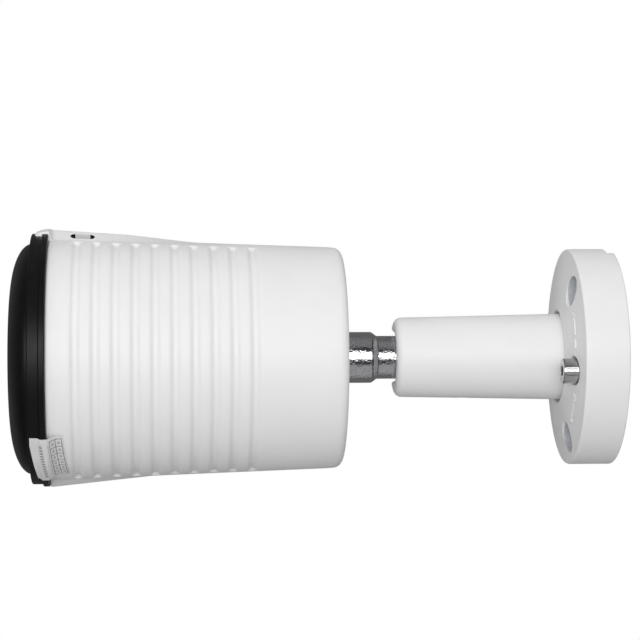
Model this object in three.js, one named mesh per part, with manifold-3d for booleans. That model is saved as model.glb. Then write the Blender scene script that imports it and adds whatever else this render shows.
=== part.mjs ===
// Bullet security camera on a three-axis wall arm.
// Frame: millimetres, +Z up. The origin is the centre of the base disc's back face, which lies on the
// wall. The wall is on the +X side, and the camera looks along -X.
import * as THREE from "three";
import { ConvexGeometry } from "three/addons/geometries/ConvexGeometry.js";
import { mergeVertices } from "three/addons/utils/BufferGeometryUtils.js";
import Module from "manifold-3d";

const wasm = await Module();
wasm.setup();

// ---------------------------------------------------------------- driving dimensions
const ROUND = 32; // facets round a large turned piece
const SMALL_ROUND = 16; // facets round a small turned piece
const FIT = 0.3; // gap between pieces that turn in, or are cut by, each other
const FACE_GAP = 0.15; // gap beside a turning face

// Base disc: dished plate with a rim, screwed to the wall.
const BASE_LIP = 1.4; // rim beyond the bosses of the wall screws
const BASE_RIM = 13; // height of the rim above the wall
const BASE_CROWN = 2.9; // rise of the dished face from the rim to its middle hole
const BASE_WALL = 2.6; // thickness of the rim
const BASE_ROOF = 2.8; // thickness of the front wall at the rim
const MOUNT_AZIMUTHS = [37, 157, 277]; // degrees from the top towards -Y
const MOUNT_BORE_R = 2.4;
const MOUNT_SINK_R = 4.5;
const MOUNT_BOSS_R = 5.6;
const MOUNT_CONE = { back: 5.5, front: 7.6 }; // countersink, from the wall
const PRY_NOTCH = { half: 8.3, deep: 2.3, long: 6 };
const EDGE = { small: 0.4, plain: 0.6, rim: 0.8 }; // chamfers

// Swivel joint between the arm's foot and the base.
const ARM_FLANGE_LIP = 4.6; // how far the flange stands out past the arm
const ARM_FLANGE_T = 2.2;
const WASHER_T = 0.5;
const PLATE_T = 1.6;
const PLATE_LIP = 2.1; // how far the clamp plate stands out past the flange
const EAR_R = 3.6;
const EAR_OUT = 3.5; // from the plate's edge to the middle of an ear
const LOCK_AZIMUTH = 97;
const CLAMP_AZIMUTHS = [217, 337];
const LOCK_SCREW = { shank: 1.95, head: 3.7, tall: 5, socket: 1.73, socketDeep: 2.6, sink: 1, seat: 0.4 };
const CLAMP_SCREW = { shank: 1.4, head: 2.7, tall: 1.7, long: 5.2, hole: 1.6, pilot: 4.6 };

// Arm and the ball joint inside its mouth.
const ARM_MOUTH = 65.4; // distance of the mouth from the wall
const ARM_WALL = 2.25;
const ARM_TAPER = 1.05; // growth of the radius from the mouth to the foot
const ARM_EDGE = 2.2; // rounding of the mouth's edge
const BALL_R = 9.2;
const BALL_IN = 9; // ball centre behind the mouth
const NECK_R = 6.45;
const NECK_CLEAR = 1.05; // round the neck, in the mouth and in the side slot
const COLLAR_R = 7.65;
const NECK_END = 14.7; // from the ball centre
const COLLAR_START = 15.9;
const HEAD_OUT = 25; // shell's rear face, from the ball centre
const STUD_THREAD_R = 5;
const STUD_BORE_R = 3.1;
const STUD_TAIL = 12.5; // threaded end past the shell's rear face
const SEAT = { front: 7.3, back: 15.7, bore: 4 };
const SEAT_RING = { gap: 0.1, long: 4.9, bore: 4.5 };
const STUD_WASHER = { r: 9, t: 0.9, gap: 0.1 };
const STUD_NUT = { corner: 9.2, t: 5 };
const TILT_SCREW = { r: 2, long: 2.5, socket: 1.15, socketDeep: 1.5, behind: 11.7 };

// Camera head: tapered housing with ribbed sides.
const SHELL_LONG = 86.7;
const REAR_R = 33;
const FRONT_R = 36;
const SHELL_WALL = 2.6;
const REAR_WALL = 3.2;
const REAR_EDGE = 2.6; // rounding of the rear edge
const GROOVES = 10;
const GROOVE_PITCH = 5.7;
const GROOVE_FIRST = 8.4; // middle of the first groove, behind the front rim
const GROOVE_W = 3;
const GROOVE_D = 0.9;
const SPINE_HALF = 7.2; // half width of the plain strips along the top and the bottom
const TOP_SPINE = { front: 2.55, knee: 1.85, kneeAt: 22.8, end: 43.8 };
const LOW_SPINE = { front: 2.5, end: 34 };
const SPINE_SINK = 1.6; // depth of the spines' feet in the wall
const SLOT = { long: 7.5, wide: 3.4, deep: 2.4, behind: 9.9, out: 3.6, lean: 20 };
const BROW = { out: 3.9, tall: 2.6, back: 4.5, gap: 0.2 };

// Black front: threaded bezel, domed cover and glass.
const SPIGOT = { long: 9, wall: 2.7, boreInset: 3.4, boreLong: 10 };
const RING_B = { proud: 1.9, long: 1.8 }; // proud of the housing's rim
const RING_A = { proud: 1.2, long: 3.3 };
const LEDGE = 2.3; // ledge for the light board, ahead of the rim
const LEDGE_IN = 3.4; // wall outside the ledge
const COVER = { in: 3, deep: 6.2, flat: 19.5, power: 2, skirt: 0.9, skirtT: 2.3, wall: 2.2 };
const WINDOW = { r: 20.2, t: 3, inset: 0.1, lip: 2, collar: 2.1 };
const GASKET_T = 0.4;
const O_RING = { tube: 0.75, behind: 2.3, grooveHalf: 0.9, grooveDeep: 1.4 };

// Warranty label, degrees from the bottom towards -Y.
const LABEL_FROM = 25;
const LABEL_TO = 56.5;
const LABEL = { paper: 0.15, back: 6.3, front: 0.4 };

// Boards, lens and lights inside the head.
const BOARD_T = 1.6;
const BOARD_PITCH = 13; // spacers stand at +-13 by +-13
const SPACER_R = 2.9;
const LIGHT_RING_R = 14;
const LIGHTS = 8;
const LIGHT = { r: 2.5, tall: 3.6 };
const LENS = { head: 7.2, thread: 6, bore: 3.6, behind: 1.7, headLong: 10.5, threadLong: 17, seat: 2.6 };
const LENS_LIP = 0.7; // thread wall at the front glass
const HOLDER = { side: 18, base: 7, tube: 8, wall: 1.3, pocket: 5.5, pocketDeep: 1.4 };
const LOCK_RING = { gap: 0.2, t: 2.6, wide: 2 };
const FILTER = { t: 1.2, half: 5.3, back: 11.5, ahead: 4.5, hole: 3.2, pitch: 7, roof: 0.5 };
const SENSOR_BOARD = 36;
const SENSOR_BACK = 26; // sensor board's front, behind the rim
const SPACER_REAR = 20.4;
const FOAM = { inner: 8.6, outer: 10.4 };
const DAYLIGHT_SENSOR = { r: 1.5, tall: 2 };
const SENSOR_CHIP = { half: 4.7, t: 1 };
const HEAT_SINK = { half: 8, foot: 2.2, tall: 7, fins: 4, fin: 1.2 };
const CAPACITOR = { r: 4, tall: 10, at: 10 };
const HEADER = { from: -16, to: -6, low: -12, high: -6.5, tall: 6 };

// ---------------------------------------------------------------- derived positions
const armBoreR = BALL_R + 0.4;
const armMouthR = armBoreR + ARM_WALL;
const armFootR = armMouthR + ARM_TAPER;
const flangeR = armFootR + ARM_FLANGE_LIP;
const plateR = flangeR + PLATE_LIP;
const earAt = plateR + EAR_OUT;
const mountAt = plateR + MOUNT_BOSS_R + FIT;
const baseR = mountAt + MOUNT_BOSS_R + BASE_LIP;
const baseHoleR = armFootR + 1;
const roofAt = BASE_RIM - BASE_ROOF;
const washerBack = roofAt - WASHER_T;
const flangeFront = washerBack - FACE_GAP;
const flangeBack = flangeFront - ARM_FLANGE_T;
const plateFront = flangeBack - FACE_GAP;
const plateBack = plateFront - PLATE_T;
const lockSeat = BASE_RIM + LOCK_SCREW.seat;
const lockHead = lockSeat + LOCK_SCREW.tall;
const ballAt = ARM_MOUTH - BALL_IN;
const crownAt = BASE_RIM + BASE_CROWN;
const mouthR = NECK_R + NECK_CLEAR;
const socketR = BALL_R + FIT;
const headAt = ballAt + HEAD_OUT;
const taper = (FRONT_R - REAR_R) / SHELL_LONG;
const shellR = (s) => REAR_R + taper * s;
const cavityR = (s) => shellR(s) - SHELL_WALL;
const rim = SHELL_LONG;
const spigotR = FRONT_R - SPIGOT.boreInset - FIT;
const bezelBoreR = spigotR - SPIGOT.wall;
const ringAR = FRONT_R + RING_A.proud;
const ringBR = FRONT_R + RING_B.proud;
const ledgeR = ringAR - LEDGE_IN;
const coverR = ringAR - COVER.in;
const skirtR = ledgeR - FIT - COVER.skirtT;
const coverBase = rim + RING_B.long + RING_A.long;
const coverS = (r) => {
  const u = Math.max(0, (r - COVER.flat) / (coverR - COVER.flat));
  return coverBase + COVER.deep * Math.pow(Math.max(0, 1 - Math.pow(u, COVER.power)), 1 / COVER.power);
};
const windowR = WINDOW.r + FIT;
const windowFront = coverS(windowR) - WINDOW.inset;
const windowBack = windowFront - WINDOW.t;
const lightBoardBack = rim + LEDGE;
const lightBoardFront = lightBoardBack + BOARD_T;
const sensorFront = rim - SENSOR_BACK;
const sensorBack = sensorFront - BOARD_T;
const mainFront = sensorBack - SPACER_REAR;
const mainBack = mainFront - BOARD_T;
const lensFront = windowBack - LENS.behind;

// ---------------------------------------------------------------- geometry helpers
const V = (x, y, z) => new THREE.Vector3(x, y, z);
const rad = THREE.MathUtils.degToRad;

// A closed three.js geometry as a solid, with its faces turned outwards.
function solid(geometry) {
  const bare = geometry.clone();
  bare.deleteAttribute("normal");
  bare.deleteAttribute("uv");
  const merged = mergeVertices(bare, 1e-4);
  const at = merged.attributes.position.array;
  const all = merged.index.array;
  const faces = [];
  let volume = 0;
  for (let i = 0; i < all.length; i += 3) {
    const [a, b, c] = [all[i], all[i + 1], all[i + 2]];
    if (a === b || b === c || c === a) continue;
    faces.push(a, b, c);
    const p = V(at[3 * a], at[3 * a + 1], at[3 * a + 2]);
    const q = V(at[3 * b], at[3 * b + 1], at[3 * b + 2]);
    const r = V(at[3 * c], at[3 * c + 1], at[3 * c + 2]);
    volume += p.dot(q.cross(r));
  }
  if (volume < 0) faces.reverse();
  const triVerts = new Uint32Array(faces);
  return new wasm.Manifold(new wasm.Mesh({ numProp: 3, vertProperties: at, triVerts }));
}

// A solid as a three.js geometry again.
function geometryOf(manifold) {
  const mesh = manifold.getMesh();
  const geometry = new THREE.BufferGeometry();
  geometry.setAttribute("position", new THREE.BufferAttribute(new Float32Array(mesh.vertProperties), 3));
  geometry.setIndex(new THREE.BufferAttribute(new Uint32Array(mesh.triVerts), 1));
  geometry.computeVertexNormals();
  return geometry;
}

const cut = (body, ...tools) => tools.reduce((left, tool) => left.subtract(tool), body);
const join = (body, ...more) => more.reduce((sum, piece) => sum.add(piece), body);

// Turned piece about the X axis. The profile's points are [distance towards -X, radius].
function turned(profile, round = ROUND) {
  const points = profile.map(([d, r]) => new THREE.Vector2(r, -d));
  if (profile[0][1] > 0) points.push(points[0].clone());
  return solid(new THREE.LatheGeometry(points, round).rotateZ(-Math.PI / 2));
}

// Prism along X between two distances towards -X. The outline's points are [y, z].
function prism(outline, from, to) {
  const shape = new THREE.Shape(outline.map(([y, z]) => new THREE.Vector2(y, z)));
  const geometry = new THREE.ExtrudeGeometry(shape, { depth: to - from, bevelEnabled: false });
  geometry.applyMatrix4(new THREE.Matrix4().makeBasis(V(0, 1, 0), V(0, 0, 1), V(1, 0, 0)));
  return solid(geometry.translate(-to, 0, 0));
}

// Round bar between two points.
function bar(from, to, radius, round = SMALL_ROUND, endRadius = radius) {
  const along = to.clone().sub(from);
  const geometry = new THREE.CylinderGeometry(endRadius, radius, along.length(), round);
  geometry.applyQuaternion(new THREE.Quaternion().setFromUnitVectors(V(0, 1, 0), along.clone().normalize()));
  const middle = from.clone().add(to).multiplyScalar(0.5);
  return solid(geometry.translate(middle.x, middle.y, middle.z));
}

// Block from distances towards -X and from y and z ranges.
function block([d0, d1], [y0, y1], [z0, z1]) {
  const geometry = new THREE.BoxGeometry(d1 - d0, y1 - y0, z1 - z0);
  return solid(geometry.translate(-(d0 + d1) / 2, (y0 + y1) / 2, (z0 + z1) / 2));
}

// Convex body round a set of [d, y, z] points, each also mirrored to -y.
function hull(points) {
  const both = points.flatMap(([d, y, z]) => (y === 0 ? [V(-d, 0, z)] : [V(-d, y, z), V(-d, -y, z)]));
  return solid(new ConvexGeometry(both));
}

// Point at a radius and an azimuth (degrees from the top towards -Y), at a distance from the wall.
const polar = (d, radius, azimuth) =>
  V(-d, -radius * Math.sin(rad(azimuth)), radius * Math.cos(rad(azimuth)));
const barX = (radius, azimuth, d0, d1, r, round, endR) =>
  bar(polar(d0, radius, azimuth), polar(d1, radius, azimuth), r, round, endR);

const material = (color, roughness, metalness, extra = {}) => () =>
  new THREE.MeshStandardMaterial({ color, roughness, metalness, flatShading: true, ...extra });
const PAINT = material(0xd9dadb, 0.55, 0.0);
const BLACK = material(0x0c0c0d, 0.4, 0.0);
const GLASS = material(0x1a1c20, 0.06, 0.0, { transparent: true, opacity: 0.55 });
const RUBBER = material(0x17171a, 0.85, 0.0);
const CHROME = material(0xc9cbcf, 0.14, 1.0);
const STEEL = material(0xa9abae, 0.32, 1.0);
const BRASS = material(0xb8954a, 0.35, 1.0);
const BOARD = material(0x1d5a36, 0.55, 0.0);
const CHIP = material(0x151619, 0.6, 0.0);
const NYLON = material(0xe7e4da, 0.6, 0.0);
const LED = material(0xdfe6ee, 0.12, 0.0);
const SILVER = material(0xb9bcbf, 0.45, 0.3);

function add(group, name, body, looks, place = V(0, 0, 0)) {
  const mesh = new THREE.Mesh(geometryOf(body), looks());
  mesh.name = name;
  mesh.position.copy(place);
  group.add(mesh);
}

// ---------------------------------------------------------------- base
const base = new THREE.Group();

function baseDisc() {
  const body = turned([
    [0, baseR - BASE_WALL],
    [0, baseR - EDGE.plain],
    [EDGE.plain, baseR],
    [BASE_RIM - EDGE.rim, baseR],
    [BASE_RIM, baseR - EDGE.rim],
    [crownAt, baseHoleR + EDGE.small],
    [crownAt - EDGE.small, baseHoleR],
    [roofAt, baseHoleR],
    [roofAt, baseR - BASE_WALL],
  ]);
  const bosses = [];
  const holes = [];
  for (const azimuth of MOUNT_AZIMUTHS) {
    bosses.push(barX(mountAt, azimuth, 0, roofAt + 0.3, MOUNT_BOSS_R));
    holes.push(barX(mountAt, azimuth, -1, crownAt, MOUNT_BORE_R));
    const { back, front } = MOUNT_CONE;
    holes.push(barX(mountAt, azimuth, back, front, MOUNT_BORE_R, SMALL_ROUND, MOUNT_SINK_R));
    holes.push(barX(mountAt, azimuth, front, crownAt + 1, MOUNT_SINK_R));
  }
  for (const azimuth of CLAMP_AZIMUTHS) {
    bosses.push(barX(earAt, azimuth, plateFront, roofAt + 0.3, EAR_R - 0.2));
    holes.push(barX(earAt, azimuth, plateFront - 1, plateFront + CLAMP_SCREW.pilot, CLAMP_SCREW.hole));
  }
  holes.push(barX(earAt, LOCK_AZIMUTH, roofAt - 1, crownAt + 1, LOCK_SCREW.shank + FIT));
  holes.push(barX(earAt, LOCK_AZIMUTH, lockSeat, crownAt + 1, LOCK_SCREW.head + 2 * FIT));
  const { half, deep, long } = PRY_NOTCH;
  const notch = block([-1, deep], [-half, half], [baseR - long, baseR + 1]);
  return cut(join(body, ...bosses), ...holes, notch);
}

function clampPlate() {
  const ring = turned([
    [plateBack, armBoreR + 0.4],
    [plateBack, plateR],
    [plateFront, plateR],
    [plateFront, armBoreR + 0.4],
  ]);
  const ears = [LOCK_AZIMUTH, ...CLAMP_AZIMUTHS];
  const tabs = ears.map((azimuth) => barX(earAt, azimuth, plateBack, plateFront, EAR_R));
  const webs = ears.map((azimuth) =>
    hullOf([plateBack, plateFront], [polar(0, plateR - 3, azimuth), polar(0, earAt, azimuth)], EAR_R),
  );
  const holes = CLAMP_AZIMUTHS.map((azimuth) =>
    barX(earAt, azimuth, plateBack - 1, plateFront + 1, CLAMP_SCREW.hole),
  );
  const lockHole = barX(earAt, LOCK_AZIMUTH, plateBack - 1, plateFront + 1, LOCK_SCREW.shank + FIT);
  return cut(join(ring, ...tabs, ...webs), ...holes, lockHole);
}

// Flat web as wide as an ear between two middle points.
function hullOf([d0, d1], [from, to], half) {
  const along = to.clone().sub(from).normalize();
  const side = V(0, -along.z, along.y).multiplyScalar(half);
  const corners = [from.clone().add(side), from.clone().sub(side), to.clone().add(side), to.clone().sub(side)];
  const points = corners.flatMap((p) => [V(-d0, p.y, p.z), V(-d1, p.y, p.z)]);
  return solid(new ConvexGeometry(points));
}

add(base, "base_disc", baseDisc(), PAINT);
add(
  base,
  "friction_washer",
  turned([
    [washerBack, armFootR + 1.3],
    [washerBack, flangeR - 0.1],
    [roofAt, flangeR - 0.1],
    [roofAt, armFootR + 1.3],
  ]),
  NYLON,
);
add(base, "clamp_plate", clampPlate(), STEEL);
const clampScrew = turned(
  [
    [-CLAMP_SCREW.tall, 0],
    [-CLAMP_SCREW.tall, CLAMP_SCREW.head],
    [0, CLAMP_SCREW.head],
    [0, CLAMP_SCREW.shank],
    [CLAMP_SCREW.long, CLAMP_SCREW.shank],
    [CLAMP_SCREW.long, 0],
  ],
  SMALL_ROUND,
);
CLAMP_AZIMUTHS.forEach((azimuth, i) =>
  add(base, `clamp_screw_${i + 1}`, clampScrew, STEEL, polar(plateBack, earAt, azimuth)),
);

add(
  base,
  "arm_lock_screw",
  cut(
    turned(
      [
        [plateBack - LOCK_SCREW.sink, 0],
        [plateBack - LOCK_SCREW.sink, LOCK_SCREW.shank],
        [lockSeat, LOCK_SCREW.shank],
        [lockSeat, LOCK_SCREW.head],
        [lockHead - EDGE.small, LOCK_SCREW.head],
        [lockHead, LOCK_SCREW.head - EDGE.small],
        [lockHead, 0],
      ],
      SMALL_ROUND,
    ),
    bar(V(-(lockHead - LOCK_SCREW.socketDeep), 0, 0), V(-lockHead - 1, 0, 0), LOCK_SCREW.socket, 6),
  ),
  STEEL,
  polar(0, earAt, LOCK_AZIMUTH),
);

// ---------------------------------------------------------------- arm
const arm = new THREE.Group();

function armTube() {
  const sphere = (t) => Math.sqrt(socketR * socketR - t * t);
  const lipT = Math.sqrt(socketR * socketR - mouthR * mouthR);
  const edgeR = armMouthR + 0.1;
  const body = turned([
    [flangeBack, armBoreR],
    [flangeBack, flangeR],
    [flangeFront, flangeR],
    [flangeFront, armFootR],
    [BASE_RIM + 4, armFootR],
    [ARM_MOUTH - ARM_EDGE, edgeR],
    [ARM_MOUTH - ARM_EDGE * 0.5, edgeR - ARM_EDGE * 0.13],
    [ARM_MOUTH - ARM_EDGE * 0.13, edgeR - ARM_EDGE * 0.5],
    [ARM_MOUTH, edgeR - ARM_EDGE],
    [ARM_MOUTH, mouthR + EDGE.small],
    [ARM_MOUTH - EDGE.small, mouthR],
    [ballAt + lipT, mouthR],
    [ballAt + lipT * 0.66, sphere(lipT * 0.66)],
    [ballAt + lipT * 0.33, sphere(lipT * 0.33)],
    [ballAt, armBoreR],
  ]);
  const slotBlock = block([ballAt, ARM_MOUTH + 1], [0, armFootR + 2], [-mouthR, mouthR]);
  const slotEnd = bar(V(-ballAt, 0, 0), V(-ballAt, armFootR + 2, 0), mouthR);
  const screwAt = -(ballAt - TILT_SCREW.behind);
  const screwHole = bar(V(screwAt, 0, -armBoreR + 2), V(screwAt, 0, -armFootR - 2), TILT_SCREW.r + 0.2);
  return cut(body, slotBlock, slotEnd, screwHole);
}

function ballSeat() {
  const pocket = (r) => ballAt - Math.sqrt(socketR * socketR - r * r) - 0.1;
  const front = ballAt - SEAT.front;
  const frontR = Math.sqrt(socketR * socketR - SEAT.front * SEAT.front) + 0.1;
  return turned([
    [ballAt - SEAT.back, SEAT.bore],
    [ballAt - SEAT.back, armBoreR - FIT],
    [front, armBoreR - FIT],
    [front, frontR],
    [pocket((SEAT.bore + frontR) / 2), (SEAT.bore + frontR) / 2],
    [pocket(SEAT.bore), SEAT.bore],
  ]);
}

add(arm, "arm_tube", armTube(), PAINT);
add(arm, "ball_seat", ballSeat(), NYLON);
const seatRingFront = ballAt - SEAT.back - SEAT_RING.gap;
add(
  arm,
  "seat_ring",
  turned([
    [seatRingFront - SEAT_RING.long, SEAT_RING.bore],
    [seatRingFront - SEAT_RING.long, armBoreR - FIT],
    [seatRingFront, armBoreR - FIT],
    [seatRingFront, SEAT_RING.bore],
  ]),
  STEEL,
);
const tiltTip = armBoreR - FACE_GAP;
add(
  arm,
  "tilt_lock_screw",
  cut(
    bar(V(0, 0, -tiltTip), V(0, 0, -tiltTip - TILT_SCREW.long), TILT_SCREW.r),
    bar(
      V(0, 0, -tiltTip - TILT_SCREW.long + TILT_SCREW.socketDeep),
      V(0, 0, -tiltTip - TILT_SCREW.long - 1),
      TILT_SCREW.socket,
      6,
    ),
  ),
  STEEL,
  V(-(ballAt - TILT_SCREW.behind), 0, 0),
);

// ---------------------------------------------------------------- ball stud, from the ball's centre
const stud = new THREE.Group();
stud.position.set(-ballAt, 0, 0);

function ballStud() {
  const neckT = Math.sqrt(BALL_R * BALL_R - NECK_R * NECK_R);
  const start = Math.PI - Math.asin(STUD_BORE_R / BALL_R);
  const end = Math.atan2(NECK_R, neckT);
  const steps = 8;
  const sphere = [];
  for (let i = 0; i <= steps; i++) {
    const angle = start + ((end - start) * i) / steps;
    sphere.push([BALL_R * Math.cos(angle), BALL_R * Math.sin(angle)]);
  }
  const tail = HEAD_OUT + STUD_TAIL;
  return turned([
    ...sphere,
    [NECK_END, NECK_R],
    [COLLAR_START, COLLAR_R],
    [HEAD_OUT - 0.1, COLLAR_R],
    [HEAD_OUT - 0.1, STUD_THREAD_R],
    [tail - EDGE.plain, STUD_THREAD_R],
    [tail, STUD_THREAD_R - EDGE.plain],
    [tail, STUD_BORE_R],
  ]);
}

const washerFrom = HEAD_OUT + REAR_WALL + STUD_WASHER.gap;
const nutFrom = washerFrom + STUD_WASHER.t;
add(stud, "ball_stud", ballStud(), CHROME);
add(
  stud,
  "stud_washer",
  turned(
    [
      [washerFrom, STUD_THREAD_R + 0.2],
      [washerFrom, STUD_WASHER.r],
      [nutFrom, STUD_WASHER.r],
      [nutFrom, STUD_THREAD_R + 0.2],
    ],
    SMALL_ROUND,
  ),
  RUBBER,
);
add(
  stud,
  "stud_nut",
  cut(
    bar(V(-nutFrom, 0, 0), V(-nutFrom - STUD_NUT.t, 0, 0), STUD_NUT.corner, 6),
    bar(V(-nutFrom + 1, 0, 0), V(-nutFrom - STUD_NUT.t - 1, 0, 0), STUD_THREAD_R + 0.2),
  ),
  STEEL,
);

// ---------------------------------------------------------------- head, from the shell's rear face
const head = new THREE.Group();
head.position.set(-headAt, 0, 0);

function grooveCutters() {
  const half = GROOVE_W / 2;
  const rings = [];
  for (let i = 0; i < GROOVES; i++) {
    const s = rim - GROOVE_FIRST - i * GROOVE_PITCH;
    const r = shellR(s);
    rings.push(
      turned([
        [s - half, r + 1],
        [s - half, r + 0.05],
        [s, r - GROOVE_D],
        [s + half, r + 0.05],
        [s + half, r + 1],
      ]),
    );
  }
  const all = join(...rings);
  const plain = block([-1, rim + 1], [-SPINE_HALF, SPINE_HALF], [-FRONT_R - 5, FRONT_R + 5]);
  return all.subtract(plain);
}

// Wedge-shaped spine whose crest runs out into the housing. way is 1 for the top and -1 for the bottom.
function spine(crest, way) {
  const last = crest[crest.length - 1];
  const before = crest[crest.length - 2];
  const fall = (before[1] - last[1]) / (before[0] - last[0]);
  const end = last[0] - 5.5;
  const points = [...crest, [end, last[1] - fall * 5.5]].map(([s, z]) => [s, 0, z * way]);
  for (const s of [crest[0][0], end]) {
    const foot = Math.sqrt(shellR(s) ** 2 - SPINE_HALF ** 2) - 0.25;
    points.push([s, SPINE_HALF, foot * way], [s, SPINE_HALF, (shellR(s) - SPINE_SINK) * way]);
  }
  return hull(points);
}

// Nose above the bezel at the front of the top spine.
function brow() {
  const top = FRONT_R + BROW.tall;
  const over = ringBR + BROW.gap;
  const low = ringAR + BROW.gap;
  const bandEnd = rim + RING_B.long + 0.25;
  const ring = turned([
    [rim - 0.5, FRONT_R + 0.4],
    [rim - 0.5, top],
    [rim + 1.7, top],
    [rim + BROW.out - 1, top - 0.45],
    [rim + BROW.out, low + 0.2],
    [rim + BROW.out, low],
    [bandEnd, low],
    [bandEnd, over],
    [rim, over],
    [rim, FRONT_R + 0.4],
  ]);
  const far = 2 * top;
  const y = far * (SPINE_HALF / top);
  return ring.intersect(
    prism(
      [
        [0, 0],
        [y, far],
        [-y, far],
      ],
      rim - 2,
      rim + BROW.out + 1,
    ),
  );
}

// Long blind slot in one flank of the top spine.
function flankSlot(side) {
  const half = SLOT.wide / 2;
  const reach = SLOT.long / 2 - half;
  const shape = new THREE.Shape();
  shape.absarc(reach, 0, half, -Math.PI / 2, Math.PI / 2, false);
  shape.absarc(-reach, 0, half, Math.PI / 2, (3 * Math.PI) / 2, false);
  const geometry = new THREE.ExtrudeGeometry(shape, { depth: 4, bevelEnabled: false, curveSegments: 8 });
  const s = rim - SLOT.behind;
  const height = shellR(s) + TOP_SPINE.front * 0.35;
  geometry.translate(0, 0, -SLOT.deep);
  geometry.rotateX(-side * rad(SLOT.lean));
  return solid(geometry.translate(-s, side * SLOT.out, height));
}

function bodyShell() {
  const edge = REAR_EDGE;
  const bore = STUD_THREAD_R + FIT;
  const spigotBoreR = FRONT_R - SPIGOT.boreInset;
  const boreEnd = rim - SPIGOT.boreLong;
  const plain = turned([
    [0, bore],
    [0, REAR_R - edge],
    [edge * 0.13, REAR_R - edge * 0.5],
    [edge * 0.5, REAR_R - edge * 0.13],
    [edge, shellR(edge)],
    [rim - 0.6, shellR(rim - 0.6)],
    [rim, FRONT_R - 0.4],
    [rim, spigotBoreR],
    [boreEnd, spigotBoreR],
    [boreEnd - 1, cavityR(boreEnd - 1)],
    [REAR_WALL + 1.5, cavityR(REAR_WALL + 1.5)],
    [REAR_WALL, cavityR(REAR_WALL) - 1.5],
    [REAR_WALL, bore],
  ]);
  const kneeS = rim - TOP_SPINE.kneeAt;
  const endS = rim - TOP_SPINE.end;
  const lowEnd = rim - LOW_SPINE.end;
  const top = spine(
    [
      [rim, FRONT_R + TOP_SPINE.front],
      [kneeS, shellR(kneeS) + TOP_SPINE.knee],
      [endS, shellR(endS)],
    ],
    1,
  );
  const low = spine(
    [
      [rim, FRONT_R + LOW_SPINE.front],
      [lowEnd, shellR(lowEnd)],
    ],
    -1,
  );
  const crest = FRONT_R + BROW.tall;
  const noseBack = rim - BROW.back;
  const nose = hull([
    [noseBack, 0, shellR(noseBack) + TOP_SPINE.front * 0.85],
    [noseBack, SPINE_HALF, Math.sqrt(shellR(noseBack) ** 2 - SPINE_HALF ** 2)],
    [noseBack, SPINE_HALF, shellR(noseBack) - SPINE_SINK],
    [rim, 0, crest],
    [rim, SPINE_HALF / 2, Math.sqrt(crest ** 2 - (SPINE_HALF / 2) ** 2)],
    [rim, SPINE_HALF, Math.sqrt(crest ** 2 - SPINE_HALF ** 2)],
    [rim, SPINE_HALF, FRONT_R - SPINE_SINK],
  ]);
  const grooved = cut(plain, grooveCutters());
  return cut(join(grooved, top, low, nose, brow()), flankSlot(1), flankSlot(-1));
}

add(head, "body_shell", bodyShell(), PAINT);

function frontBezel() {
  const grooveFrom = rim - O_RING.behind - O_RING.grooveHalf;
  const grooveTo = rim - O_RING.behind + O_RING.grooveHalf;
  const grooveR = spigotR - O_RING.grooveDeep;
  const ringEnd = rim + RING_B.long;
  return turned([
    [rim - SPIGOT.long, bezelBoreR],
    [rim - SPIGOT.long, spigotR],
    [grooveFrom, spigotR],
    [grooveFrom, grooveR],
    [grooveTo, grooveR],
    [grooveTo, spigotR],
    [rim, spigotR],
    [rim, ringBR],
    [ringEnd, ringBR],
    [ringEnd, ringAR],
    [coverBase - EDGE.small, ringAR],
    [coverBase, ringAR - EDGE.small],
    [coverBase, ledgeR],
    [lightBoardBack, ledgeR],
    [lightBoardBack, bezelBoreR],
  ]);
}

function frontCover() {
  const dome = [];
  const steps = 6;
  for (let i = 0; i <= steps; i++) {
    const turn = (i / steps) * (Math.PI / 2);
    const r = coverR - (coverR - windowR) * (1 - Math.cos(turn));
    dome.push([coverS(r), r]);
  }
  const innerR = WINDOW.r - WINDOW.lip;
  const ledge = windowBack - GASKET_T;
  const ledgeBack = ledge - WINDOW.lip;
  const collarR = windowR + WINDOW.collar;
  const kneeR = collarR + (coverR - collarR) * 0.4;
  return turned([
    [coverBase, ledgeR - FIT],
    ...dome,
    [ledge, windowR],
    [ledge, innerR],
    [ledgeBack, innerR],
    [ledgeBack, innerR + 1.4],
    [coverS(collarR) - COVER.wall, collarR],
    [coverS(kneeR) - COVER.wall, kneeR],
    [coverBase + 1.2, skirtR],
    [coverBase - COVER.skirt, skirtR],
    [coverBase - COVER.skirt, ledgeR - FIT],
  ]);
}

const flatRing = (from, to, inner, outer, round = ROUND) =>
  turned(
    [
      [from, inner],
      [from, outer],
      [to, outer],
      [to, inner],
    ],
    round,
  );

add(head, "front_bezel", frontBezel(), BLACK);
add(head, "front_cover", frontCover(), BLACK);
add(
  head,
  "front_window",
  turned([
    [windowBack, 0],
    [windowBack, WINDOW.r],
    [windowFront - 0.3, WINDOW.r],
    [windowFront, WINDOW.r - 0.3],
    [windowFront, 0],
  ]),
  GLASS,
);
const gasketInner = WINDOW.r - WINDOW.lip + 0.2;
add(head, "window_gasket", flatRing(windowBack - GASKET_T, windowBack, gasketInner, WINDOW.r), RUBBER);
const coverGasketTo = coverBase - COVER.skirt;
add(
  head,
  "cover_gasket",
  flatRing(lightBoardFront, coverGasketTo, skirtR, ledgeR - FIT),
  RUBBER,
);

const oRingR = spigotR - O_RING.grooveDeep + O_RING.tube + 0.1;
const oRingS = rim - O_RING.behind;
const oRingProfile = [];
for (let i = 0; i < 6; i++) {
  const angle = (i / 6) * 2 * Math.PI;
  oRingProfile.push([oRingS + O_RING.tube * Math.cos(angle), oRingR + O_RING.tube * Math.sin(angle)]);
}
add(head, "bezel_o_ring", turned(oRingProfile), RUBBER);

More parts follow.
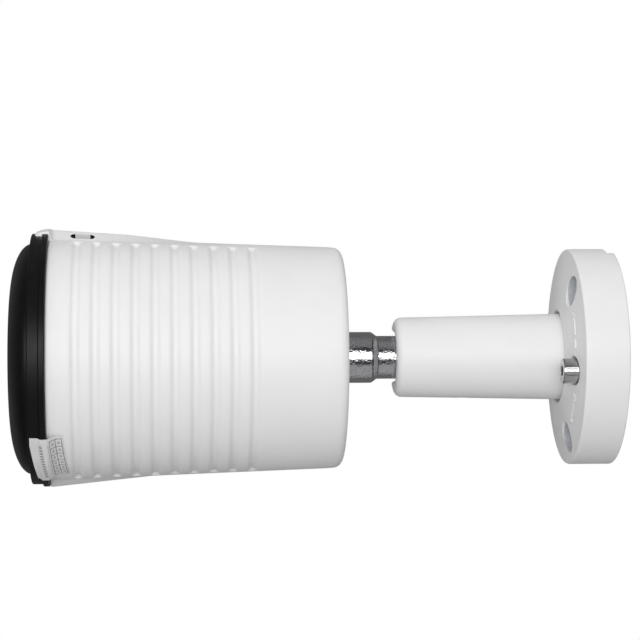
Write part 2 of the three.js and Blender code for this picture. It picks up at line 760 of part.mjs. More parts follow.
// Light board with its ring of infrared lights and the daylight sensor.
const boardHole = FOAM.inner - 0.1;
add(head, "light_board", flatRing(lightBoardBack, lightBoardFront, boardHole, ledgeR - FIT), BOARD);
const light = turned(
  [
    [0, 0],
    [0, LIGHT.r],
    [LIGHT.tall - 1.6, LIGHT.r - 0.1],
    [LIGHT.tall - 0.6, LIGHT.r * 0.72],
    [LIGHT.tall, 0],
  ],
  16,
);
for (let i = 0; i < LIGHTS; i++) {
  const azimuth = (360 / LIGHTS) * (i + 0.5);
  add(head, `ir_light_${i + 1}`, light, LED, polar(lightBoardFront, LIGHT_RING_R, azimuth));
}
add(
  head,
  "daylight_sensor",
  turned(
    [
      [0, 0],
      [0, DAYLIGHT_SENSOR.r],
      [DAYLIGHT_SENSOR.tall * 0.8, DAYLIGHT_SENSOR.r - 0.2],
      [DAYLIGHT_SENSOR.tall, 0],
    ],
    12,
  ),
  GLASS,
  polar(lightBoardFront, LIGHT_RING_R, 0),
);
add(
  head,
  "lens_hood_ring",
  flatRing(lightBoardFront, windowBack - 0.2, FOAM.inner, FOAM.outer, SMALL_ROUND),
  RUBBER,
);

// Lens, its holder and the filter slide.
const lensShoulder = lensFront - LENS.headLong;
const lensRear = lensShoulder - LENS.threadLong;
const glassSeat = lensFront - LENS.seat;
const lensWellR = LENS.thread - LENS_LIP;
add(
  head,
  "lens_barrel",
  turned(
    [
      [lensRear, LENS.bore],
      [lensRear, LENS.thread],
      [lensShoulder, LENS.thread],
      [lensShoulder, LENS.head],
      [lensFront, LENS.head],
      [lensFront, LENS.head - 0.9],
      [lensFront - LENS.seat / 2, lensWellR],
      [glassSeat, lensWellR],
      [glassSeat, LENS.bore],
    ],
    SMALL_ROUND,
  ),
  BLACK,
);
add(
  head,
  "lens_glass",
  turned(
    [
      [glassSeat, 0],
      [glassSeat, lensWellR - 0.2],
      [glassSeat + LENS.seat * 0.35, lensWellR - 0.2],
      [glassSeat + LENS.seat * 0.58, LENS.thread / 2],
      [glassSeat + LENS.seat * 0.7, 0],
    ],
    SMALL_ROUND,
  ),
  GLASS,
);

const holderTop = sensorFront + HOLDER.base + HOLDER.tube;
const tubeBore = LENS.thread + FIT;
const lensStop = lensRear - 0.2;
function lensHolder() {
  const half = HOLDER.side / 2;
  const foot = block([sensorFront, sensorFront + HOLDER.base], [-half, half], [-half, half]);
  const tube = flatRing(sensorFront + HOLDER.base - 1, holderTop, 1, tubeBore + HOLDER.wall, SMALL_ROUND);
  const bore = bar(V(-lensStop, 0, 0), V(-holderTop - 1, 0, 0), tubeBore);
  const light = bar(V(-sensorFront + 1, 0, 0), V(-lensStop - 1, 0, 0), LENS.bore);
  const inner = [-HOLDER.pocket, HOLDER.pocket];
  const pocket = block([sensorFront - 1, sensorFront + HOLDER.pocketDeep], inner, inner);
  const slotHalf = FILTER.half + FIT;
  const slotFrom = filterFrom - FIT;
  const slot = block([slotFrom, slotFrom + FILTER.t + 2 * FIT], [-half - 1, half + 1], [-slotHalf, slotHalf]);
  return cut(join(foot, tube), bore, light, pocket, slot);
}
const filterFrom = sensorFront + HOLDER.pocketDeep + FILTER.roof + FIT;
add(head, "lens_holder", lensHolder(), BLACK);
add(
  head,
  "lens_lock_ring",
  flatRing(
    holderTop + LOCK_RING.gap,
    holderTop + LOCK_RING.gap + LOCK_RING.t,
    LENS.thread + LOCK_RING.gap,
    LENS.thread + LOCK_RING.gap + LOCK_RING.wide,
    SMALL_ROUND,
  ),
  STEEL,
);

const slide = new THREE.Group();
slide.position.set(-filterFrom, 0, 0);
head.add(slide);
add(
  slide,
  "filter_slide",
  cut(
    block([0, FILTER.t], [-FILTER.back, FILTER.ahead], [-FILTER.half, FILTER.half]),
    bar(V(1, 0, 0), V(-FILTER.t - 1, 0, 0), FILTER.hole),
    bar(V(1, -FILTER.pitch, 0), V(-FILTER.t - 1, -FILTER.pitch, 0), FILTER.hole),
  ),
  BLACK,
);
const filterGlass = bar(V(-FILTER.t * 0.25, 0, 0), V(-FILTER.t * 0.75, 0, 0), FILTER.hole - 0.2);
add(slide, "filter_glass", filterGlass, GLASS);

// Boards and spacers.
const boardHalf = SENSOR_BOARD / 2;
add(
  head,
  "sensor_board",
  block([sensorBack, sensorFront], [-boardHalf, boardHalf], [-boardHalf, boardHalf]),
  BOARD,
);
const chip = [-SENSOR_CHIP.half, SENSOR_CHIP.half];
add(head, "image_sensor", block([sensorFront, sensorFront + SENSOR_CHIP.t], chip, chip), CHIP);
const spacer = (long) => bar(V(0, 0, 0), V(-long, 0, 0), SPACER_R, 6);
const frontSpacer = spacer(lightBoardBack - sensorFront);
const rearSpacer = spacer(SPACER_REAR);
const corners = [
  [1, 1],
  [1, -1],
  [-1, -1],
  [-1, 1],
];
corners.forEach(([sy, sz], i) => {
  const [y, z] = [sy * BOARD_PITCH, sz * BOARD_PITCH];
  add(head, `front_spacer_${i + 1}`, frontSpacer, BRASS, V(-sensorFront, y, z));
  add(head, `rear_spacer_${i + 1}`, rearSpacer, BRASS, V(-mainFront, y, z));
});

const mainHalf = (cavityR(mainBack) - 2) / Math.SQRT2;
add(
  head,
  "main_board",
  block([mainBack, mainFront], [-mainHalf, mainHalf], [-mainHalf, mainHalf]),
  BOARD,
);

function heatSink() {
  const { half, foot, tall, fins, fin } = HEAT_SINK;
  const plate = block([mainFront, mainFront + foot], [-half, half], [-half, half]);
  const blades = [];
  for (let i = 0; i < fins; i++) {
    const y = -half + 0.5 + ((2 * half - 1 - fin) * i) / (fins - 1);
    blades.push(block([mainFront + foot - 0.2, mainFront + tall], [y, y + fin], [-half, half]));
  }
  return join(plate, ...blades);
}
add(head, "heat_sink", heatSink(), SILVER);
add(
  head,
  "capacitor",
  turned(
    [
      [0, 0],
      [0, CAPACITOR.r - EDGE.small],
      [EDGE.small, CAPACITOR.r],
      [CAPACITOR.tall, CAPACITOR.r],
      [CAPACITOR.tall, 0],
    ],
    16,
  ),
  CHIP,
  V(-(mainBack - CAPACITOR.tall), CAPACITOR.at, CAPACITOR.at),
);
const headerDepth = [mainBack - HEADER.tall, mainBack];
add(head, "wire_header", block(headerDepth, [HEADER.from, HEADER.to], [HEADER.low, HEADER.high]), NYLON);

// Small paper label that wraps from the bezel on to the housing.
function warrantyLabel() {
  const { paper, back, front } = LABEL;
  const ringEnd = rim + RING_B.long;
  const over = ringBR + 0.1;
  const under = [
    [coverBase - front, ringAR + 0.1],
    [ringEnd + 0.2, over],
    [rim - 0.2, over],
    [rim - back, shellR(rim - back) + 0.15],
  ];
  const ring = turned([...under, ...under.toReversed().map(([s, r]) => [s, r + paper])]);
  const far = 2 * ringBR;
  const edge = (angle) => [-far * Math.sin(rad(angle)), -far * Math.cos(rad(angle))];
  return ring.intersect(prism([[0, 0], edge(LABEL_FROM), edge(LABEL_TO)], rim - 8, rim + 8));
}
add(head, "warranty_label", warrantyLabel(), SILVER);

// ---------------------------------------------------------------- assembly
const camera = new THREE.Group();
camera.name = "security_camera";
camera.add(base, arm, stud, head);

export default camera;
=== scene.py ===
"""Finished look of a bullet security camera on a three-axis wall arm.

The packed model gives the frame: metres, +Z up, origin at the middle of the base disc's back face,
which lies on a wall on the +X side. The camera looks along -X. Every surface here is a profile in
(distance towards -X, radius), carried round the X axis and then shaped by a function of the distance
and of the angle. The angle is measured from the top towards -Y.
"""

import math

import bpy
import numpy as np
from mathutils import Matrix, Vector


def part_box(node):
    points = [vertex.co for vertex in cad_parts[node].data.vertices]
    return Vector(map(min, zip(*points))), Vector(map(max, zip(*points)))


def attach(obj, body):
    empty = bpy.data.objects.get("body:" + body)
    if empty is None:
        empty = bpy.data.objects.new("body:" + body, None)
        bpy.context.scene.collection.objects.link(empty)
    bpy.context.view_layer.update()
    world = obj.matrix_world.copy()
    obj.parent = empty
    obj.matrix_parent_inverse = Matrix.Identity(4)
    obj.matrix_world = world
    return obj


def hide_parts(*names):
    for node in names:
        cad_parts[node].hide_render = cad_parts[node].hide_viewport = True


bl_info = {
    "name": "Bullet security camera",
    "version": (1, 0, 0),
    "blender": (4, 5, 0),
    "location": "View3D > Sidebar > Security Camera",
    "description": "Builds the finished surfaces, materials and stage of a bullet security camera",
    "category": "Object",
}

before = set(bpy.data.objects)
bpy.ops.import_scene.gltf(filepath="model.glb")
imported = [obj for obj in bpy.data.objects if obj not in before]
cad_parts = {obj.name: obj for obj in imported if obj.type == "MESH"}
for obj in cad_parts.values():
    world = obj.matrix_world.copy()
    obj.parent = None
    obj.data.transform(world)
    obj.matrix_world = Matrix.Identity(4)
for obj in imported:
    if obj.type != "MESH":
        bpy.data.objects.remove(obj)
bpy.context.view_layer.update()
MM = 0.001
TURN = 2 * math.pi


def node_box(name):
    """Lowest and highest corner of a packed node, as plain arrays in metres."""
    low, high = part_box(name)
    return np.array(low), np.array(high)


SHELL_HIGH = node_box("body_shell")[1]
HEAD_AT = -SHELL_HIGH[0]  # rear face of the housing, from the wall
ARM_MOUTH = -node_box("arm_tube")[0][0]  # front end of the arm, from the wall
BALL_IN = 9.0  # middle of the ball, behind the arm's mouth, in millimetres
BEZEL_LONG = 5.1  # front of the bezel, from the housing's rim, in millimetres
WALL_SCREWS = (37, 157, 277)  # azimuths of the three wall screws, in degrees
CLAMP_SCREWS = (217, 337)  # azimuths of the two clamp screws behind the disc
LOCK_SCREW = 97  # azimuth of the arm's lock screw
INNER_CIRCLE = 23.1  # radius of the circle of clamp and lock screws, in millimetres
UP_ALONG_X = [[0, 0, 1], [0, 1, 0], [1, 0, 0]]  # turns a solid made along X to stand along Z


# ------------------------------------------------------------------ settings
def length(name, description, default):
    """A size in metres, shown in the user's own unit."""
    return bpy.props.FloatProperty(
        name=name,
        description=description,
        default=default,
        min=0.0,
        precision=5,
        unit="LENGTH",
        subtype="DISTANCE",
    )


def angle_of_view(name, description, degrees):
    """An angle, given in degrees."""
    return bpy.props.FloatProperty(
        name=name, description=description, default=math.radians(degrees), subtype="ANGLE", unit="ROTATION"
    )


def watts(name, description, default):
    """The power of a light, in watts."""
    return bpy.props.FloatProperty(name=name, description=description, default=default, subtype="POWER")


def colour(name, description, default):
    """A linear RGB colour."""
    return bpy.props.FloatVectorProperty(
        name=name, description=description, default=default, size=3, min=0.0, max=1.0, subtype="COLOR"
    )


class HousingSettings(bpy.types.PropertyGroup):
    """Sizes of the painted housing."""

    long: length("Length", "Rear face to front rim", 86.7 * MM)
    rear_radius: length("Rear radius", "Radius at the rear face", 33.0 * MM)
    front_radius: length("Front radius", "Radius at the front rim", 36.0 * MM)
    groove_first: length("First groove", "Middle of the first groove, behind the rim", 8.4 * MM)
    groove_pitch: length("Groove pitch", "Spacing of the grooves", 5.7 * MM)
    groove_width: length("Groove width", "Width of one groove over its rounded edges", 3.3 * MM)
    groove_depth: length("Groove depth", "Depth of one groove", 0.85 * MM)
    grooves: bpy.props.IntProperty(
        name="Grooves", description="Number of grooves", default=10, min=0, max=12
    )
    spine_half: length("Spine half width", "Half width of the plain strips above and below", 7.2 * MM)
    top_spine: length("Top spine", "Height of the top crest at the rim", 2.55 * MM)
    low_spine: length("Bottom spine", "Height of the bottom crest at the rim", 2.5 * MM)


class FrontSettings(bpy.types.PropertyGroup):
    """Sizes of the black front."""

    dome_deep: length("Dome depth", "Depth of the domed cover in front of the bezel", 6.2 * MM)
    dome_flat: length("Dome flat", "Radius inside which the dome is flat", 19.5 * MM)
    dome_power: bpy.props.FloatProperty(
        name="Dome fullness",
        description="Power of the dome's rounded shoulder",
        default=2.0,
        min=1.2,
        max=4.0,
    )
    window_radius: length("Window radius", "Radius of the glass", 20.2 * MM)
    light_circle: length("Light circle", "Radius of the circle of lights", 14.0 * MM)


class ArmSettings(bpy.types.PropertyGroup):
    """Sizes of the arm and of the ball stud."""

    mouth_radius: length("Mouth radius", "Outer radius of the arm at its mouth", 11.95 * MM)
    foot_radius: length("Foot radius", "Outer radius of the arm at the base", 12.9 * MM)
    edge: length("Mouth rounding", "Rounding of the mouth's outer edge", 2.2 * MM)
    ball_radius: length("Ball radius", "Radius of the ball", 9.2 * MM)
    neck_radius: length("Neck radius", "Radius of the neck", 6.45 * MM)
    collar_radius: length("Collar radius", "Radius of the collar against the housing", 7.65 * MM)


class BaseSettings(bpy.types.PropertyGroup):
    """Sizes of the base disc."""

    rim_height: length("Rim height", "Height of the rim over the wall", 13.0 * MM)
    crown: length("Crown", "Rise of the face from the rim to the middle hole", 2.9 * MM)
    screw_circle: length("Screw circle", "Radius of the circle of wall screws", 25.5 * MM)
    sink_radius: length("Screw sink", "Radius of the sunk screw seats", 4.5 * MM)
    marks: bpy.props.BoolProperty(
        name="Turn marks", description="Low relief turn arrows by the screw", default=True
    )


class FinishSettings(bpy.types.PropertyGroup):
    """Colours of the finishes."""

    paint: colour("Paint", "Powder coat of the housing, arm and base", (0.80, 0.80, 0.805))
    plastic: colour("Black plastic", "Bezel and cover", (0.0045, 0.0046, 0.005))
    chrome: colour("Chrome", "Ball stud", (0.62, 0.62, 0.64))
    steel: colour("Steel", "Screws", (0.56, 0.56, 0.57))
    board: colour("Circuit board", "Solder mask", (0.02, 0.12, 0.055))
    label: colour("Label", "Label stock", (0.70, 0.70, 0.70))


class StageSettings(bpy.types.PropertyGroup):
    """View and light."""

    focal: bpy.props.FloatProperty(
        name="Focal length",
        description="Focal length in millimetres",
        default=123.75,
        min=20.0,
        subtype="DISTANCE_CAMERA",
    )
    distance: length("Distance", "From the camera to the point it looks at", 0.66)
    azimuth: angle_of_view("Azimuth", "Turn round the vertical", -4.3)
    elevation: angle_of_view("Elevation", "Height angle", 2.5)
    key: watts("Key light", "Power of the front light", 7.8)
    top: watts("Top light", "Power of the top light", 3.2)


SETTINGS = {
    "housing_settings": HousingSettings,
    "front_settings": FrontSettings,
    "arm_settings": ArmSettings,
    "base_settings": BaseSettings,
    "finish_settings": FinishSettings,
    "stage_settings": StageSettings,
}


# ------------------------------------------------------------------ surfaces
def smooth(x, low, high):
    """Smooth step from 0 at low to 1 at high: 3t^2 - 2t^3 of the clipped fraction."""
    t = np.clip((x - low) / (high - low), 0.0, 1.0)
    return t * t * (3 - 2 * t)


def rounded(corners, steps=4):
    """Closed profile with its corners rounded.

    A corner is (distance, radius) or (distance, radius, rounding). A rounding r is a quadratic curve
    between the two points that lie r before and r after the corner, with the corner as its middle
    control point.
    """
    out = []
    count = len(corners)
    for i, corner in enumerate(corners):
        here = np.array(corner[:2], float)
        size = corner[2] if len(corner) > 2 else 0.0
        if size == 0.0:
            out.append(here)
            continue
        before = np.array(corners[i - 1][:2], float) - here
        after = np.array(corners[(i + 1) % count][:2], float) - here
        size_before = min(size, 0.49 * np.linalg.norm(before))
        size_after = min(size, 0.49 * np.linalg.norm(after))
        start = here + before / np.linalg.norm(before) * size_before
        end = here + after / np.linalg.norm(after) * size_after
        t = np.linspace(0, 1, steps + 1)[:, None]
        out.extend((1 - t) ** 2 * start + 2 * t * (1 - t) * here + t**2 * end)
    return np.array(out)


def around(distance, radius, angle):
    """Points at a distance towards -X and at a radius, turned by an angle from the top towards -Y."""
    across, up = -radius * np.sin(angle), radius * np.cos(angle)
    return np.stack(np.broadcast_arrays(-distance, across, up), axis=-1)


def quads(rows, columns, close_rows=True, close_columns=True, start=0):
    """Quads of a grid of points, wrapped round in the directions that close."""
    i = np.arange(rows if close_rows else rows - 1)[:, None]
    j = np.arange(columns if close_columns else columns - 1)[None, :]
    below = (i + 1) % rows
    beside = (j + 1) % columns
    near, far = i * columns, below * columns
    return np.stack([near + j, far + j, far + beside, near + beside], axis=-1).reshape(-1, 4) + start


def ring_solid(profile, columns=160):
    """Turned ring: a closed profile carried round the X axis, as points and quads."""
    angle = np.arange(columns) * TURN / columns
    points = around(profile[:, :1], profile[:, 1:], angle[None, :])
    return points.reshape(-1, 3), [quads(len(profile), columns)]


def cored_solid(profile, columns=64, shape=None):
    """Turned solid whose profile starts and ends on its axis: rings, closed by a fan at each end.

    shape, if given, takes the distances, radii and angles as arrays and returns new radii.
    """
    angle = np.arange(columns) * TURN / columns
    distance, radius = np.broadcast_arrays(profile[1:-1, :1], profile[1:-1, 1:])
    radius = np.repeat(radius, columns, axis=1)
    if shape is not None:
        radius = shape(distance, radius, angle[None, :])
    rows = len(profile) - 2
    points = around(distance, radius, angle[None, :]).reshape(-1, 3)
    ends = np.array([[-profile[0, 0], 0, 0], [-profile[-1, 0], 0, 0]])
    j = np.arange(columns)
    beside = (j + 1) % columns
    last = (rows - 1) * columns
    first_fan = np.stack([np.full(columns, rows * columns), j, beside], axis=-1)
    last_fan = np.stack([np.full(columns, rows * columns + 1), last + beside, last + j], axis=-1)
    faces = [quads(rows, columns, close_rows=False), first_fan, last_fan]
    return np.vstack([points, ends]), faces


def placed(solid, at, turn=None):
    """The same solid, turned by a 3 by 3 matrix and moved."""
    points, faces = solid
    return (points if turn is None else points @ np.array(turn).T) + np.array(at), faces


def volume(points, faces):
    """Signed volume of a closed surface: the sum over its triangles of a . (b x c) / 6."""
    total = 0.0
    for part in faces:
        for k in range(1, part.shape[1] - 1):
            a, b, c = points[part[:, 0]], points[part[:, k]], points[part[:, k + 1]]
            total += float((a * np.cross(b, c)).sum()) / 6
    return total


def make_mesh(name, solid):
    """A mesh from points and faces, turned so that its faces point outwards."""
    points, faces = solid
    if volume(points, faces) < 0:
        faces = [part[:, ::-1] for part in faces]
    mesh = bpy.data.meshes.new(name)
    sizes = np.concatenate([np.full(len(part), part.shape[1]) for part in faces])
    corners = np.concatenate([part.ravel() for part in faces])
    mesh.vertices.add(len(points))
    mesh.vertices.foreach_set("co", np.ascontiguousarray(points, np.float32).ravel())
    mesh.loops.add(len(corners))
    mesh.loops.foreach_set("vertex_index", corners.astype(np.int32))
    mesh.polygons.add(len(sizes))
    mesh.polygons.foreach_set("loop_start", (np.cumsum(sizes) - sizes).astype(np.int32))
    mesh.update(calc_edges=True)
    if mesh.validate():
        raise RuntimeError(f"{name}: the mesh had faults")
    return mesh


def shade(mesh, sharp_angle=35.0):
    """Smooth shading, with edges sharper than an angle kept sharp."""
    mesh.polygons.foreach_set("use_smooth", np.ones(len(mesh.polygons), bool))
    mesh.set_sharp_from_angle(angle=math.radians(sharp_angle))


def add_piece(name, solid, body, material, replaces=(), sharp_angle=35.0):
    """Links a finished piece to the scene and to its body."""
    mesh = solid if isinstance(solid, bpy.types.Mesh) else make_mesh(name, solid)
    shade(mesh, sharp_angle)
    piece = bpy.data.objects.new(name, mesh)
    bpy.context.scene.collection.objects.link(piece)
    for finish in material if isinstance(material, (list, tuple)) else [material]:
        mesh.materials.append(finish)
    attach(piece, body)
    if replaces:
        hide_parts(*replaces)
    return piece


def carved(name, solid, cutters=(), additions=()):
    """A solid with others joined to it and then others cut from it, by exact booleans, as a mesh."""
    scene = bpy.context.scene
    work = bpy.data.objects.new(name, make_mesh(name, solid))
    scene.collection.objects.link(work)
    tools = []
    for operation, group in (("UNION", additions), ("DIFFERENCE", cutters)):
        for tool_solid in group:
            tool = bpy.data.objects.new(name + "_tool", make_mesh(name + "_tool", tool_solid))
            scene.collection.objects.link(tool)
            tools.append(tool)
            step = work.modifiers.new(operation.title(), "BOOLEAN")
            step.operation = operation
            step.object = tool
            step.solver = "EXACT"
    bpy.context.view_layer.update()
    result = bpy.data.meshes.new_from_object(work.evaluated_get(bpy.context.evaluated_depsgraph_get()))
    for spent in [work, *tools]:
        mesh = spent.data
        bpy.data.objects.remove(spent)
        bpy.data.meshes.remove(mesh)
    if not len(result.polygons):
        raise RuntimeError(f"{name}: nothing was left of the solid")
    return result


# ------------------------------------------------------------------ materials
def set_inputs(tree, node, values):
    """Links sockets and sets plain values on a node's inputs."""
    for key, value in values.items():
        if isinstance(value, bpy.types.NodeSocket):
            tree.links.new(value, node.inputs[key])
        else:
            node.inputs[key].default_value = value


def add_node(tree, kind, values=None, **properties):
    """A node of one kind with its properties and inputs set."""
    node = tree.nodes.new(kind)
    for key, value in properties.items():
        setattr(node, key, value)
    set_inputs(tree, node, values or {})
    return node


def maths(tree, operation, *values, clamp=False):
    """The output of a Math node."""
    node = add_node(tree, "ShaderNodeMath", dict(enumerate(values)), operation=operation, use_clamp=clamp)
    return node.outputs[0]


def chained(tree, operation, first, *others):
    """One operation carried through several values, such as their product or their largest."""
    for other in others:
        first = maths(tree, operation, first, other)
    return first


def object_place(tree):
    """The point on the piece's own coordinates, which are the object's."""
    return add_node(tree, "ShaderNodeTexCoord").outputs["Object"]


def ramp(tree, value, low, high, to_low=0.0, to_high=1.0):
    """A value mapped smoothly from one range to another."""
    values = {"Value": value, "From Min": low, "From Max": high, "To Min": to_low, "To Max": to_high}
    return add_node(tree, "ShaderNodeMapRange", values, interpolation_type="SMOOTHSTEP").outputs["Result"]


def mix_colour(tree, share, first, second):
    """Two colours mixed by a mask."""
    node = tree.nodes.new("ShaderNodeMix")
    node.data_type = "RGBA"
    sockets = {0: share, 6: first, 7: second}
    for key, value in sockets.items():
        if isinstance(value, bpy.types.NodeSocket):
            tree.links.new(value, node.inputs[key])
        elif key == 0:
            node.inputs[key].default_value = value
        else:
            node.inputs[key].default_value = (*value[:3], 1.0)
    return node.outputs[2]


def noise(tree, vector, scale, detail=2.0, roughness=0.5):
    """The value of a noise pattern on a vector."""
    values = {"Vector": vector, "Scale": scale, "Detail": detail, "Roughness": roughness}
    return add_node(tree, "ShaderNodeTexNoise", values).outputs["Fac"]


def new_group(name, inputs, outputs):
    """An empty shader node group with named float or colour sockets."""
    group = bpy.data.node_groups.new(name, "ShaderNodeTree")
    for label, kind, value in inputs:
        socket = group.interface.new_socket(name=label, in_out="INPUT", socket_type=kind)
        if value is not None:
            socket.default_value = value
    for label, kind in outputs:
        group.interface.new_socket(name=label, in_out="OUTPUT", socket_type=kind)
    return group, group.nodes.new("NodeGroupInput"), group.nodes.new("NodeGroupOutput")


def orange_peel_group():
    """Powder coat: a fine pebbled height, with slow waves under it and a faint mottle of tone."""
    group, entry, leave = new_group(
        "orange_peel",
        [("Grain", "NodeSocketFloat", 2600.0), ("Wave", "NodeSocketFloat", 420.0)],
        [("Height", "NodeSocketFloat"), ("Mottle", "NodeSocketFloat")],
    )
    place = object_place(group)
    grain = noise(group, place, entry.outputs["Grain"], 3.0, 0.6)
    wave = noise(group, place, entry.outputs["Wave"], 1.0, 0.4)
    height = maths(group, "ADD", maths(group, "MULTIPLY", grain, 0.45), maths(group, "MULTIPLY", wave, 0.75))
    mottle = ramp(group, noise(group, place, 55.0, 3.0, 0.6), 0.3, 0.72)
    set_inputs(group, leave, {"Height": height, "Mottle": mottle})
    return group


def dust_group():
    """Dust: a mask that is strongest on faces that look up, broken into patches and fine specks."""
    group, entry, leave = new_group(
        "settled_dust", [("Amount", "NodeSocketFloat", 0.3)], [("Mask", "NodeSocketFloat")]
    )
    coordinates = add_node(group, "ShaderNodeTexCoord")
    up = add_node(group, "ShaderNodeSeparateXYZ", {"Vector": coordinates.outputs["Normal"]}).outputs["Z"]
    lie = ramp(group, up, 0.2, 1.0)
    patches = ramp(group, noise(group, coordinates.outputs["Object"], 90.0, 4.0, 0.65), 0.42, 0.7)
    specks = ramp(group, noise(group, coordinates.outputs["Object"], 1500.0, 2.0, 0.5), 0.6, 0.75)
    both = maths(group, "ADD", maths(group, "MULTIPLY", patches, 0.6), maths(group, "MULTIPLY", specks, 0.4))
    mask = maths(group, "MULTIPLY", maths(group, "MULTIPLY", lie, both), entry.outputs["Amount"], clamp=True)
    set_inputs(group, leave, {"Mask": mask})
    return group


def scuff_group():
    """Handling marks: thin streaks along X and small rubbed patches, as a mask and a height."""
    group, entry, leave = new_group(
        "handling_marks",
        [("Streaks", "NodeSocketFloat", 700.0), ("Amount", "NodeSocketFloat", 0.5)],
        [("Mask", "NodeSocketFloat"), ("Height", "NodeSocketFloat")],
    )
    place = object_place(group)
    drawn = add_node(group, "ShaderNodeMapping", {"Vector": place, "Scale": (0.06, 1.0, 1.0)}).outputs[0]
    streaks = noise(group, drawn, entry.outputs["Streaks"], 3.0, 0.7)
    patches = ramp(group, noise(group, place, 160.0, 3.0, 0.6), 0.5, 0.7)
    mask = chained(group, "MULTIPLY", patches, ramp(group, streaks, 0.5, 0.68), entry.outputs["Amount"])
    set_inputs(group, leave, {"Mask": mask, "Height": streaks})
    return group


def pit_group():
    """Plated casting: rounded pits of several sizes under a bright skin."""
    group, entry, leave = new_group(
        "cast_pits",
        [("Size", "NodeSocketFloat", 1500.0)],
        [("Height", "NodeSocketFloat"), ("Pits", "NodeSocketFloat")],
    )
    place = object_place(group)
    values = {"Vector": place, "Scale": entry.outputs["Size"]}
    cells = add_node(group, "ShaderNodeTexVoronoi", values, feature="SMOOTH_F1")
    ripple = noise(group, place, 1300.0, 3.0, 0.6)
    height = maths(group, "ADD", maths(group, "MULTIPLY", cells.outputs["Distance"], 0.6), ripple)
    set_inputs(group, leave, {"Height": height, "Pits": ramp(group, cells.outputs["Distance"], 0.1, 0.45)})
    return group


GROUP_MAKERS = {
    "orange_peel": orange_peel_group,
    "settled_dust": dust_group,
    "handling_marks": scuff_group,
    "cast_pits": pit_group,
}


def use_group(tree, name, values=None):
    """A shared node group placed in a material; it is made the first time that it is asked for."""
    group = bpy.data.node_groups.get(name) or GROUP_MAKERS[name]()
    return add_node(tree, "ShaderNodeGroup", values, node_tree=group)


def new_material(name, plain):
    """A material with one Principled shader whose constants are set on its own sockets."""
    material = bpy.data.materials.new(name)
    material.use_nodes = True
    tree = material.node_tree
    tree.nodes.clear()
    shader = tree.nodes.new("ShaderNodeBsdfPrincipled")
    out = tree.nodes.new("ShaderNodeOutputMaterial")
    tree.links.new(shader.outputs[0], out.inputs[0])
    set_inputs(tree, shader, plain)
    return material, tree, shader


def feed(tree, shader, **sockets):
    """Links values to the shader's sockets, which are named in lower case with underscores."""
    for name, value in sockets.items():
        tree.links.new(value, shader.inputs[name.replace("_", " ").title()])


def bump(tree, shader, height, distance):
    """A height that feeds the shader's normal; distance is the height's real size in metres."""
    values = {"Height": height, "Distance": distance, "Strength": 1.0}
    feed(tree, shader, normal=add_node(tree, "ShaderNodeBump", values).outputs[0])


def paint_material(colours, shade_brightness=1.0):
    """White powder coat with pebbled skin, faint mottle and dust; shade_brightness under 1 paints shade."""
    material, tree, shader = new_material("white_powder_coat", {"IOR": 1.47, "Specular IOR Level": 0.45})
    peel = use_group(tree, "orange_peel")
    dust = use_group(tree, "settled_dust", {"Amount": 0.16})
    # painted shade: shade_brightness under 1 darkens the colour, the blue least, for the sunk screw seats
    base = np.array(colours.paint) * (1 - (1 - shade_brightness) * np.array([1.0, 0.95, 0.88]))
    tone = mix_colour(tree, peel.outputs["Mottle"], tuple(base * 0.985), tuple(base))
    tone = mix_colour(tree, dust.outputs["Mask"], tone, (0.55, 0.53, 0.50))
    feed(tree, shader, base_color=tone, roughness=ramp(tree, peel.outputs["Mottle"], 0.0, 1.0, 0.44, 0.52))
    bump(tree, shader, peel.outputs["Height"], 0.00004)
    return material


def plastic_material(name, base, rough, grain=3200.0, dusty=0.08):
    """Moulded black plastic: fine spark-eroded grain, rubbed streaks and dust."""
    material, tree, shader = new_material(name, {"IOR": 1.45, "Specular IOR Level": 0.22})
    peel = use_group(tree, "orange_peel", {"Grain": grain, "Wave": 260.0})
    marks = use_group(tree, "handling_marks", {"Streaks": 900.0, "Amount": 0.5})
    dust = use_group(tree, "settled_dust", {"Amount": dusty})
    base = np.array(base)
    tone = mix_colour(tree, peel.outputs["Mottle"], tuple(base * 0.8), tuple(base * 1.25))
    tone = mix_colour(tree, dust.outputs["Mask"], tone, (0.07, 0.068, 0.066))
    moulded = ramp(tree, peel.outputs["Mottle"], 0.0, 1.0, rough, rough + 0.08)
    rubbed = maths(tree, "MULTIPLY", marks.outputs["Mask"], 0.15)
    feed(tree, shader, base_color=tone, roughness=maths(tree, "SUBTRACT", moulded, rubbed))
    bump(tree, shader, peel.outputs["Height"], 0.00003)
    return material


def metal_material(name, base, rough, streaks=1400.0):
    """Plated or turned metal: drawn streaks that change its gloss, and rubbed patches."""
    material, tree, shader = new_material(name, {"Metallic": 1.0})
    marks = use_group(tree, "handling_marks", {"Streaks": streaks, "Amount": 0.8})
    base = np.array(base)
    tone = mix_colour(tree, marks.outputs["Mask"], tuple(base), tuple(base * 0.72))
    drawn = ramp(tree, marks.outputs["Height"], 0.3, 0.7, rough * 0.8, rough * 1.4)
    feed(tree, shader, base_color=tone, roughness=drawn)
    bump(tree, shader, marks.outputs["Height"], 0.00001)
    return material


def chrome_material(colours):
    """Bright chrome over a cast skin, with fine pits and slow ripples."""
    material, tree, shader = new_material("pitted_chrome", {"Metallic": 1.0})
    pits = use_group(tree, "cast_pits")
    base = np.array(colours.chrome)
    tone = mix_colour(tree, pits.outputs["Pits"], tuple(base * 0.8), tuple(base))
    feed(tree, shader, base_color=tone, roughness=ramp(tree, pits.outputs["Pits"], 0.0, 1.0, 0.16, 0.07))
    bump(tree, shader, pits.outputs["Height"], 0.0001)
    return material


